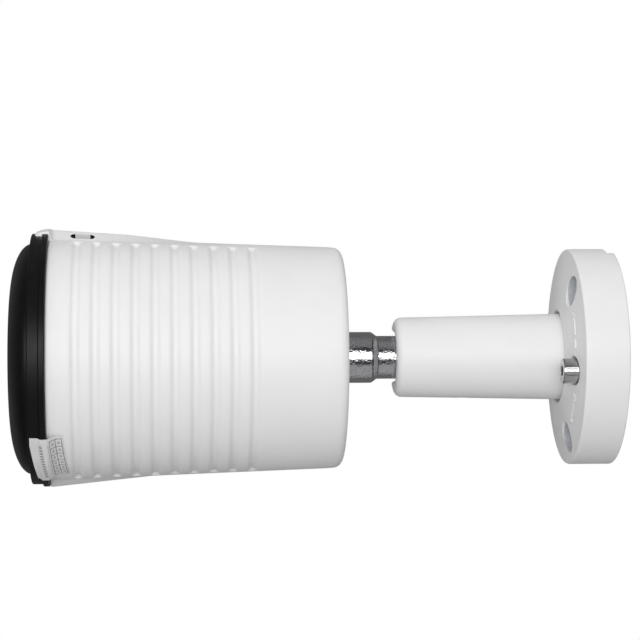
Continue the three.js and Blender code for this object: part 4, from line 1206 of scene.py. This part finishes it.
# ------------------------------------------------------------------ arm and stud
def arm_solid(sizes):
    """The arm as one closed grid: flange, tapered tube, rounded mouth, socket and bore.

    Columns lie at a fixed height over the slot on the +Y side, so that its walls are flat, and are
    spread evenly elsewhere. In the slot's columns the tube ends early, on a half circle round the
    ball's middle.
    """
    mouth = ARM_MOUTH / MM
    ball = mouth - BALL_IN
    slot = sizes.neck_radius / MM + 1.05
    edge = sizes.edge / MM
    m_r, f_r = sizes.mouth_radius / MM, sizes.foot_radius / MM

    def outer_radius(d):
        return np.interp(d, [17.0, mouth - edge], [f_r, m_r])

    arc = np.linspace(0, math.pi / 2, 9)
    outer_d = np.concatenate([[9.8, 14.0], np.linspace(17.0, mouth - edge - 0.6, 26)])
    lip = [(mouth - edge + edge * math.sin(a), m_r - edge + edge * math.cos(a)) for a in arc]
    socket_d = np.linspace(math.sqrt(9.5**2 - slot**2) - 0.15, 0.1, 9)
    socket = [(ball + d, math.sqrt(9.5**2 - d * d)) for d in socket_d]
    bore_d = np.linspace(ball - 0.4, 8.0, 22)
    rows = np.array(
        [(7.35, 9.6), (7.35, 17.2), (7.6, 17.5), (9.3, 17.5), (9.55, 17.2), (9.55, f_r + 0.1)]
        + [(d, outer_radius(d)) for d in outer_d]
        + lip
        + [(mouth, slot + 0.5), (mouth - 0.12, slot + 0.15), (mouth - 0.5, slot)]
        + socket
        + [(d, 9.6) for d in bore_d]
    )
    tube = np.zeros(len(rows), bool)
    tube[6:] = True
    slot_z = np.linspace(-1, 1, 41) * slot
    slot_z[0] *= 0.9995
    slot_z[-1] *= 0.9995
    radius = rows[:, 1]
    edge_angle = np.arcsin(np.clip(slot / radius, 0, 1))
    slot_angle = np.arcsin(np.clip(slot_z[None, :] / radius[:, None], -1, 1))
    near = np.array([0.0, 0.0015, 0.004, 0.008, 0.013, 0.019, 0.026, 0.034])
    share = np.concatenate([near, np.linspace(0.045, 0.955, 90), 1 - near[::-1]])
    rest_angle = edge_angle[:, None] + share[None, :] * (TURN - 2 * edge_angle[:, None])
    # the slot is on the +Y side, at three quarters of a turn from the top towards -Y
    angle = 1.5 * math.pi + np.concatenate([slot_angle, rest_angle], axis=1)
    distance = np.repeat(rows[:, :1], angle.shape[1], axis=1)
    span = np.repeat(rows[:, 1:], angle.shape[1], axis=1)
    end = ball - np.sqrt(np.maximum(slot**2 - slot_z**2, 0))
    columns = slice(0, len(slot_z))
    corner = 2.0
    from_slot = np.clip(np.minimum(share, 1 - share) * (TURN * m_r - 2 * slot), 0, corner)
    cut_back = corner - np.sqrt(corner**2 - (corner - from_slot) ** 2)
    zone = mouth - 6.0
    lips = distance[tube][:, len(slot_z) :]
    pulled = zone + (lips - zone) * (mouth - cut_back - zone)[None, :] / (mouth - zone)
    distance[np.ix_(tube, np.arange(len(slot_z), angle.shape[1]))] = np.where(lips > zone, pulled, lips)
    squeeze = 14.0 + (distance[tube][:, columns] - 14.0) * (end - 14.0)[None, :] / (mouth - 14.0)
    past_foot = distance[tube][:, columns] > 14.0
    moved = np.where(past_foot, squeeze, distance[tube][:, columns])
    turn_row = 6 + len(outer_d) + len(lip)
    is_outer = np.arange(len(rows)) < turn_row
    cut_radius = np.where(is_outer[tube][:, None], outer_radius(moved), 9.6)
    distance[np.ix_(tube, np.arange(len(slot_z)))] = moved
    span[np.ix_(tube, np.arange(len(slot_z)))] = cut_radius
    slot_angle = np.arcsin(np.clip(slot_z[None, :] / span[:, columns], -1, 1))
    angle[:, columns] = 1.5 * math.pi + slot_angle
    points = around(distance * MM, span * MM, angle)
    return points.reshape(-1, 3), [quads(*angle.shape)]


class SECURITY_CAMERA_OT_arm(bpy.types.Operator):
    """Build the tapered arm with the slot at its mouth"""

    bl_idname = "security_camera.arm"
    bl_label = "Arm"

    def execute(self, context):
        solid = arm_solid(context.scene.arm_settings)
        screw = ARM_MOUTH / MM - 20.7
        bore = [(-4.0, 0), (-4.0, 1.0), (-4.0, 2.2), (1.15, 2.2), (1.5, 2.55), (4.0, 4.0), (4.0, 0)]
        hole = placed(cored_solid(np.array(bore) * MM, 48), (-screw * MM, 0, -12.0 * MM), UP_ALONG_X)
        mesh = carved("arm", solid, [hole])
        add_piece("arm", mesh, "arm", finish("paint"), ["arm_tube"], 40)
        return {"FINISHED"}


class SECURITY_CAMERA_OT_stud(bpy.types.Operator):
    """Build the chromed ball stud with its neck, collar and threaded tail"""

    bl_idname = "security_camera.stud"
    bl_label = "Ball stud"

    def execute(self, context):
        sizes = context.scene.arm_settings
        ball = ARM_MOUTH / MM - BALL_IN
        r, neck, collar = sizes.ball_radius / MM, sizes.neck_radius / MM, sizes.collar_radius / MM
        start = math.pi - math.asin(3.1 / r)
        end = math.asin((neck + 0.35) / r)
        turn = np.linspace(start, end, 40)
        profile = [(ball + r * math.cos(a), r * math.sin(a)) for a in turn]
        seat = HEAD_AT / MM - 0.1
        tail = HEAD_AT / MM + 12.5
        thread = []
        pitch = 1.0
        for k in range(11):
            at = seat + 0.6 + pitch * k
            thread += [(at, 4.98), (at + 0.12, 4.98), (at + 0.5, 4.45), (at + 0.62, 4.45)]
        more = rounded(
            [
                (profile[-1][0] + 0.05, neck + 0.1),
                (profile[-1][0] + 0.6, neck, 0.2),
                (ball + 14.3, neck, 0.3),
                (ball + 15.9, collar, 0.35),
                (seat, collar, 0.3),
                (seat, 5.0),
                *thread,
                (tail - 0.6, 4.98),
                (tail, 4.4),
                (tail, 3.1, 0.2),
            ]
        )
        profile = np.vstack([np.array(profile), more]) * MM
        stud = ring_solid(profile, columns=144)
        add_piece("ball_joint_stud", stud, "stud", finish("chrome"), ["ball_stud"], 25)
        return {"FINISHED"}


def hexagonal(radius, angle, reach, apothem):
    """Radii of a hexagonal socket: those up to a reach become a hexagon of that apothem."""
    sector = np.mod(angle + math.pi / 6, math.pi / 3) - math.pi / 6
    return np.where(radius <= reach, radius / reach * apothem / np.cos(sector), radius)


SOCKET_ROWS = 5  # rows of a screw's profile that make its socket


def cap_screw_solid(profile, socket_corner, columns=144, knurl=None):
    """A screw with a hexagonal socket in its head; the last SOCKET_ROWS rows of its profile are the socket.

    knurl gives the (from, to, depth, teeth) of its grip.
    """
    apothem = socket_corner * math.cos(math.pi / 6) * MM

    def shape(distance, radius, angle):
        inner = np.zeros_like(radius, bool)
        inner[-SOCKET_ROWS:] = True
        out = np.where(inner, hexagonal(radius, angle, apothem * 1.02, apothem), radius)
        if knurl:
            low, high, depth, teeth = knurl
            grip = smooth(distance, low * MM, (low + 0.3) * MM)
            grip = grip * (1 - smooth(distance, (high - 0.3) * MM, high * MM))
            ridge = 0.5 - 0.5 * np.cos(teeth * angle)
            out = out - np.where(inner, 0, grip * depth * MM * ridge * (radius > 2.5 * MM))
        return out

    return cored_solid(profile, columns, shape)


class SECURITY_CAMERA_OT_screws(bpy.types.Operator):
    """Build the arm lock screw in the base and the tilt lock screw under the arm"""

    bl_idname = "security_camera.screws"
    bl_label = "Lock screws"

    def execute(self, context):
        self.lock_screw()
        self.grub_screw()
        return {"FINISHED"}

    def lock_screw(self):
        """The cap screw in the base, with a fine grip round its head."""
        low, high = node_box("arm_lock_screw")
        middle = (low + high) / 2
        tip, back = -high[0] / MM, -low[0] / MM
        seat = back - 5.0
        thread = []
        at = tip + 0.5
        while at < seat - 1.4:
            thread += [(at, 1.95), (at + 0.1, 1.95), (at + 0.3, 1.65), (at + 0.4, 1.65)]
            at += 0.7
        apothem = 1.73 * math.cos(math.pi / 6)
        profile = [(tip, 0), (tip, 0.8), (tip, 1.5), (tip + 0.3, 1.9), *thread]
        profile += [(seat - 0.9, 1.95), (seat - 0.1, 1.95), (seat, 2.1), (seat, 3.2), (seat + 0.12, 3.6)]
        profile += [(seat + d, 3.7) for d in np.linspace(0.25, 4.4, 16)]
        profile += [(back - 0.35, 3.68), (back - 0.12, 3.58), (back, 3.35), (back, 2.6), (back, 2.05)]
        profile += [(back - 0.02, apothem * 1.08)]
        profile += [(back - depth, apothem) for depth in (0.14, 1.3, 2.55)]
        profile += [(back - 2.6, apothem * 0.5), (back - 2.75, 0)]
        solid = cap_screw_solid(np.array(profile) * MM, 1.73, 216, (seat + 0.6, back - 0.5, 0.03, 36))
        solid = placed(solid, (0, middle[1], middle[2]))
        add_piece("lock_screw", solid, "lock_screw", finish("steel"), ["arm_lock_screw"], 28)

    def grub_screw(self):
        """The headless screw under the arm that clamps the ball."""
        low, high = node_box("tilt_lock_screw")
        middle = (low + high) / 2
        long = (high[2] - low[2]) / MM
        apothem = 1.15 * math.cos(math.pi / 6)
        profile = [(0, 0), (0, 0.8), (0, 1.4), (0.3, 1.85), (0.5, 1.98), (0.7, 1.98), (1.0, 1.75)]
        profile += [(1.2, 1.98), (1.4, 1.98), (1.7, 1.75), (1.9, 1.98)]
        profile += [(long - 0.25, 1.98), (long, 1.7), (long, 1.35), (long - 0.02, apothem * 1.1)]
        profile += [(long - depth, apothem) for depth in (0.12, 0.8, 1.45)]
        profile += [(long - 1.5, apothem * 0.5), (long - 1.55, 0)]
        solid = cap_screw_solid(np.array(profile) * MM, 1.15, 96)
        solid = placed(solid, (middle[0], 0, high[2]), UP_ALONG_X)
        add_piece("grub_screw", solid, "tilt_screw", finish("steel"), ["tilt_lock_screw"], 28)


# ------------------------------------------------------------------ base
def disc_face(radius, sizes):
    """Distance of the disc's face from the wall at a radius: a straight cone with a slight bulge."""
    rim, crown = sizes.rim_height / MM, sizes.crown / MM
    share = (31.7 - radius) / (31.7 - 14.3)
    return rim + crown * share + 0.35 * np.sin(np.clip(share, 0, 1) * math.pi)


def upright(solid, radius, azimuth):
    """A solid moved out from the disc's axis to a radius and an azimuth in degrees."""
    a = math.radians(azimuth)
    return placed(solid, (0, -radius * MM * math.sin(a), radius * MM * math.cos(a)))


def mark_solid(sizes, middle, half, lane, wide, arrow):
    """A low raised arc on the disc's face, with an arrow head at one end when arrow is 1 or -1.

    The first parameter runs along the arc, the second across its width. The half width swells from
    nothing to twice the line's width and back to the line over the arrow head.
    """
    along = np.linspace(0, 1, 40)
    width = np.full(40, wide / 2)
    if arrow:
        head = along if arrow > 0 else 1 - along
        width = np.where(head > 0.72, wide * 1.5 * (1 - head) / 0.28, width)
    width = np.maximum(width, 0.02)
    azimuth = np.radians(middle + (along - 0.5) * 2 * half)
    across = np.array([-1.0, -0.9, 0.9, 1.0])
    radius = lane + across[None, :] * width[:, None]
    lifts = np.array([-0.1, 0.22, 0.22, -0.1])
    front = disc_face(radius, sizes) + lifts[None, :]
    back = disc_face(radius, sizes) - 0.5
    ring = np.concatenate([front, back[:, ::-1]], axis=1)
    radius = np.concatenate([radius, radius[:, ::-1]], axis=1)
    points = around(ring * MM, radius * MM, np.repeat(azimuth[:, None], 8, axis=1)).reshape(-1, 3)
    first = np.arange(8)[None, ::-1]
    last = (39 * 8 + np.arange(8))[None, :]
    return points, [quads(40, 8, close_rows=False), first, last]


class SECURITY_CAMERA_OT_base(bpy.types.Operator):
    """Build the dished base disc with its screw seats, lock screw recess and turn marks"""

    bl_idname = "security_camera.base"
    bl_label = "Base disc"

    def execute(self, context):
        sizes = context.scene.base_settings
        rim = sizes.rim_height / MM
        face_r = np.linspace(31.4, 14.6, 26)
        face = [(float(disc_face(r, sizes)), float(r)) for r in face_r]
        corners = [
            (0.0, 29.9),
            (0.0, 32.5, 0.6),
            (rim * 0.33, 32.5),
            (rim * 0.66, 32.5),
            (rim + 0.02, 32.5, 1.1),
            *face,
            (face[-1][0] + 0.05, 13.9, 0.45),
            (10.2, 13.9),
            (10.2, 29.9, 1.0),
        ]
        profile = rounded(corners, 6) * MM
        disc = ring_solid(profile, columns=216)
        boss = np.array([(0.0, 0), (0.0, 3.0), (0.0, 5.3), (0.3, 5.6), (10.5, 5.6), (10.5, 0)]) * MM
        bosses = [upright(cored_solid(boss, 72), sizes.screw_circle / MM, a) for a in WALL_SCREWS]
        post = np.array([(7.35, 0), (7.35, 3.2), (7.55, 3.4), (10.5, 3.4), (10.5, 0)]) * MM
        additions = bosses + [upright(cored_solid(post, 48), INNER_CIRCLE, a) for a in CLAMP_SCREWS]
        if sizes.marks:
            # azimuth from the lock screw, half length, width, and which end has an arrow head
            for off, half, wide, arrow in (
                (-34, 9, 1.1, -1),
                (34, 9, 1.1, 1),
                (-19, 3.0, 1.0, 0),
                (19, 3.0, 1.0, 0),
                (19, 1.2, 3.2, 0),
            ):
                additions.append(mark_solid(sizes, LOCK_SCREW + off, half, 24.2, wide, arrow))
        sink = sizes.sink_radius / MM
        lip = disc_face(sizes.screw_circle / MM, sizes)
        seat = [(-2, 0), (-2, 2.4), (5.5, 2.4), (7.6, sink - 0.15), (lip - 0.1, sink - 0.15)]
        seat = np.array(seat + [(lip + 0.15, sink + 0.05), (lip + 3, sink + 2.2), (lip + 3, 0)]) * MM
        cutters = [upright(cored_solid(seat, 72), sizes.screw_circle / MM, a) for a in WALL_SCREWS]
        lip = disc_face(INNER_CIRCLE, sizes)
        recess = [(7, 0), (7, 2.25), (13.4, 2.25), (13.42, 4.0), (13.5, 4.3), (lip - 0.2, 4.3)]
        recess = np.array(recess + [(lip + 0.3, 4.6), (lip + 3, 6.5), (lip + 3, 0)]) * MM
        cutters.append(upright(cored_solid(recess, 72), INNER_CIRCLE, LOCK_SCREW))
        pilot = np.array([(5, 0), (5, 1.6), (11.8, 1.6), (12.6, 0)]) * MM
        cutters += [upright(cored_solid(pilot, 32), INNER_CIRCLE, a) for a in CLAMP_SCREWS]
        cutters.append(notch_solid())
        mesh = carved("base", disc, cutters, additions)
        # the sunk screw seats take the darker, bluer second material, a painted shade
        finishes = [finish("paint"), finish("seat_painted_shade")]
        add_piece("base_plate", mesh, "base", finishes, ["base_disc"], 32)

        def in_seat(at):
            inside = np.zeros(len(at), bool)
            for azimuth in np.radians(WALL_SCREWS):
                across = at[:, 1] + sizes.screw_circle * math.sin(azimuth)
                up = at[:, 2] - sizes.screw_circle * math.cos(azimuth)
                inside |= np.hypot(across, up) < sizes.sink_radius - 0.05 * MM
            return inside & (at[:, 0] < -5.0 * MM)

        darkened(mesh, 1, in_seat)
        return {"FINISHED"}


def notch_solid():
    """The pry notch's cutter: a rounded bar across the top of the disc's back edge."""
    across = np.array([-8.3, -8.1, 8.1, 8.3])
    deep = np.array([2.1, 2.3, 2.3, 2.1])
    y = np.concatenate([across, across[::-1]])
    d = np.concatenate([deep, np.full(4, -1.0)])
    z = np.array([26.0, 33.5])
    points = np.stack([np.tile(-d, 2), np.tile(y, 2), np.repeat(z, 8)], axis=-1) * MM
    return points, [quads(2, 8, close_rows=False), np.arange(8)[None, ::-1], np.arange(8, 16)[None, :]]


# ------------------------------------------------------------------ packed nodes that stay
KEPT = {
    "nylon": ["friction_washer", "ball_seat", "wire_header"],
    "steel": ["clamp_plate", "clamp_screw_1", "clamp_screw_2", "seat_ring", "stud_nut", "lens_lock_ring"],
    "rubber": ["stud_washer", "window_gasket", "cover_gasket", "bezel_o_ring"],
    "board": ["light_board", "sensor_board", "main_board"],
    "component": ["lens_holder", "filter_slide", "image_sensor", "capacitor"],
    "window": ["filter_glass"],
    "brass": [f"{row}_spacer_{i}" for row in ("front", "rear") for i in (1, 2, 3, 4)],
    "aluminium": ["heat_sink"],
}


class SECURITY_CAMERA_OT_inside(bpy.types.Operator):
    """Give every packed piece that stays its own finish"""

    bl_idname = "security_camera.inside"
    bl_label = "Inner pieces"

    def execute(self, context):
        for name, nodes in KEPT.items():
            for node in nodes:
                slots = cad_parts[node].material_slots
                if not slots:
                    raise RuntimeError(f"{node} has no material slot")
                for slot in slots:
                    slot.material = finish(name)
        return {"FINISHED"}


# ------------------------------------------------------------------ stage
def soft_light(name, place, target, size, power, mirrored=True):
    """A rectangular light that faces a point."""
    light = bpy.data.lights.new(name, "AREA")
    light.shape = "RECTANGLE"
    light.size, light.size_y = size
    light.energy = power
    lamp = bpy.data.objects.new(name, light)
    bpy.context.scene.collection.objects.link(lamp)
    lamp.location = place
    lamp.rotation_euler = (Vector(target) - Vector(place)).to_track_quat("-Z", "Y").to_euler()
    lamp.visible_glossy = mirrored


def sky(world):
    """Pale world: white behind the object and soft on matt surfaces.

    Mirror-like surfaces see bright banks in front, one above the other with dark gaps between them,
    and an even grey behind.
    """
    world.use_nodes = True
    tree = world.node_tree
    tree.nodes.clear()
    path = tree.nodes.new("ShaderNodeLightPath")
    direction = add_node(tree, "ShaderNodeTexCoord").outputs["Generated"]
    ray = add_node(tree, "ShaderNodeSeparateXYZ", {"Vector": direction}).outputs
    matt = ramp(tree, ray["Z"], -0.8, 0.9, 0.38, 0.50)
    matt = maths(tree, "ADD", matt, ramp(tree, ray["Y"], 0.15, 0.9, 0.0, 0.30))
    low = ramp(tree, ray["Z"], -0.56, -0.42, 0.42, 0.015)
    bank = ramp(tree, ray["Z"], -0.22, -0.12, 0.0, 0.62)
    high = ramp(tree, ray["Z"], 0.42, 0.50, 0.0, -0.60)
    over = ramp(tree, ray["Z"], 0.68, 0.80, 0.0, 0.22)
    sides = ramp(tree, maths(tree, "ABSOLUTE", ray["X"]), 0.25, 0.5, 1.0, 0.12)
    behind = ramp(tree, ray["Y"], -0.1, 0.35, 0.0, 1.0)
    banks = maths(tree, "MULTIPLY", chained(tree, "ADD", low, bank, high, over), sides)
    gloss = add_node(tree, "ShaderNodeMix", {0: behind, 2: banks, 3: 0.17}).outputs[0]
    lit = {0: path.outputs["Is Glossy Ray"], 2: matt, 3: gloss}
    seen = {0: path.outputs["Is Camera Ray"], 2: add_node(tree, "ShaderNodeMix", lit).outputs[0], 3: 1.0}
    strength = add_node(tree, "ShaderNodeMix", seen).outputs[0]
    light = add_node(tree, "ShaderNodeBackground", {"Color": (1, 1, 1, 1), "Strength": strength})
    tree.links.new(light.outputs[0], add_node(tree, "ShaderNodeOutputWorld").inputs[0])


def floor_material():
    """Pale sweep: white where it is seen, and a soft grey where it lights the object."""
    material = bpy.data.materials.new("pale_sweep")
    material.use_nodes = True
    tree = material.node_tree
    tree.nodes.clear()
    path = tree.nodes.new("ShaderNodeLightPath")
    grain = noise(tree, object_place(tree), 3.0)
    tone = mix_colour(tree, grain, (0.52, 0.52, 0.52), (0.56, 0.56, 0.56))
    matt = add_node(tree, "ShaderNodeBsdfDiffuse", {"Color": tone})
    white = add_node(tree, "ShaderNodeEmission", {"Color": (1, 1, 1, 1), "Strength": 1.0})
    either = {0: path.outputs["Is Camera Ray"], 1: matt.outputs[0], 2: white.outputs[0]}
    mixed = add_node(tree, "ShaderNodeMixShader", either)
    tree.links.new(mixed.outputs[0], add_node(tree, "ShaderNodeOutputMaterial").inputs[0])
    return material


class SECURITY_CAMERA_OT_stage(bpy.types.Operator):
    """Set up the camera, the pale floor and the soft lights"""

    bl_idname = "security_camera.stage"
    bl_label = "Stage"

    def execute(self, context):
        scene = context.scene
        view = scene.stage_settings
        target = Vector((-0.0876, 0.0, 0.0113))
        out = Vector(
            (
                math.sin(view.azimuth) * math.cos(view.elevation),
                -math.cos(view.azimuth) * math.cos(view.elevation),
                math.sin(view.elevation),
            )
        )
        lens = bpy.data.cameras.new("view")
        lens.lens = view.focal
        lens.sensor_width = 36.0
        lens.clip_start = 0.01
        lens.clip_end = 50.0
        camera = bpy.data.objects.new("view", lens)
        scene.collection.objects.link(camera)
        camera.location = target + out * view.distance
        camera.rotation_euler = (-out).to_track_quat("-Z", "Y").to_euler()
        scene.camera = camera
        scene.view_settings.view_transform = "Standard"
        scene.view_settings.look = "None"
        scene.world = scene.world or bpy.data.worlds.new("pale_world")
        sky(scene.world)
        steps = np.linspace(-4.0, 4.0, 9)
        x, y = np.meshgrid(steps, steps, indexing="ij")
        points = np.stack([x, y, np.full_like(x, -0.16)], axis=-1).reshape(-1, 3)
        mesh = bpy.data.meshes.new("floor")
        mesh.from_pydata(points.tolist(), [], quads(9, 9, False, False).tolist())
        floor = bpy.data.objects.new("floor", mesh)
        mesh.materials.append(floor_material())
        scene.collection.objects.link(floor)
        floor.visible_glossy = False
        aim = (-0.09, 0.0, 0.0)
        soft_light("front_light", (-0.26, -1.12, 0.24), aim, (0.95, 0.50), view.key)
        soft_light("top_light", (-0.14, -0.20, 1.25), aim, (1.4, 1.0), view.top, mirrored=False)
        return {"FINISHED"}


# ------------------------------------------------------------------ panel and run
STEPS = [
    SECURITY_CAMERA_OT_stage,
    SECURITY_CAMERA_OT_housing,
    SECURITY_CAMERA_OT_bezel,
    SECURITY_CAMERA_OT_cover,
    SECURITY_CAMERA_OT_window,
    SECURITY_CAMERA_OT_lights,
    SECURITY_CAMERA_OT_lens,
    SECURITY_CAMERA_OT_label,
    SECURITY_CAMERA_OT_arm,
    SECURITY_CAMERA_OT_stud,
    SECURITY_CAMERA_OT_screws,
    SECURITY_CAMERA_OT_base,
    SECURITY_CAMERA_OT_inside,
]


class VIEW3D_PT_security_camera(bpy.types.Panel):
    """Sidebar panel that lists the pieces and their sizes"""

    bl_label = "Security camera"
    bl_space_type = "VIEW_3D"
    bl_region_type = "UI"
    bl_category = "Security Camera"

    def draw(self, context):
        layout = self.layout
        for step in STEPS:
            layout.operator(step.bl_idname)
        for name, kind in SETTINGS.items():
            box = layout.box()
            box.label(text=kind.__doc__)
            for key in kind.__annotations__:
                box.prop(getattr(context.scene, name), key)


def register():
    """Adds the settings, the operators and the panel."""
    for kind in [*SETTINGS.values(), *STEPS, VIEW3D_PT_security_camera]:
        bpy.utils.register_class(kind)
    for name, kind in SETTINGS.items():
        setattr(bpy.types.Scene, name, bpy.props.PointerProperty(type=kind))


def unregister():
    """Takes them away again."""
    for name in SETTINGS:
        delattr(bpy.types.Scene, name)
    for kind in reversed([*SETTINGS.values(), *STEPS, VIEW3D_PT_security_camera]):
        bpy.utils.unregister_class(kind)


def plain(bounds):
    """Bounds as plain lists of numbers."""
    return [[float(value) for value in corner] for corner in bounds]


def main():
    """Builds every piece in order."""
    register()
    for step in STEPS:
        area, name = step.bl_idname.split(".")
        getattr(getattr(bpy.ops, area), name)()


if __name__ == "__main__":
    main()
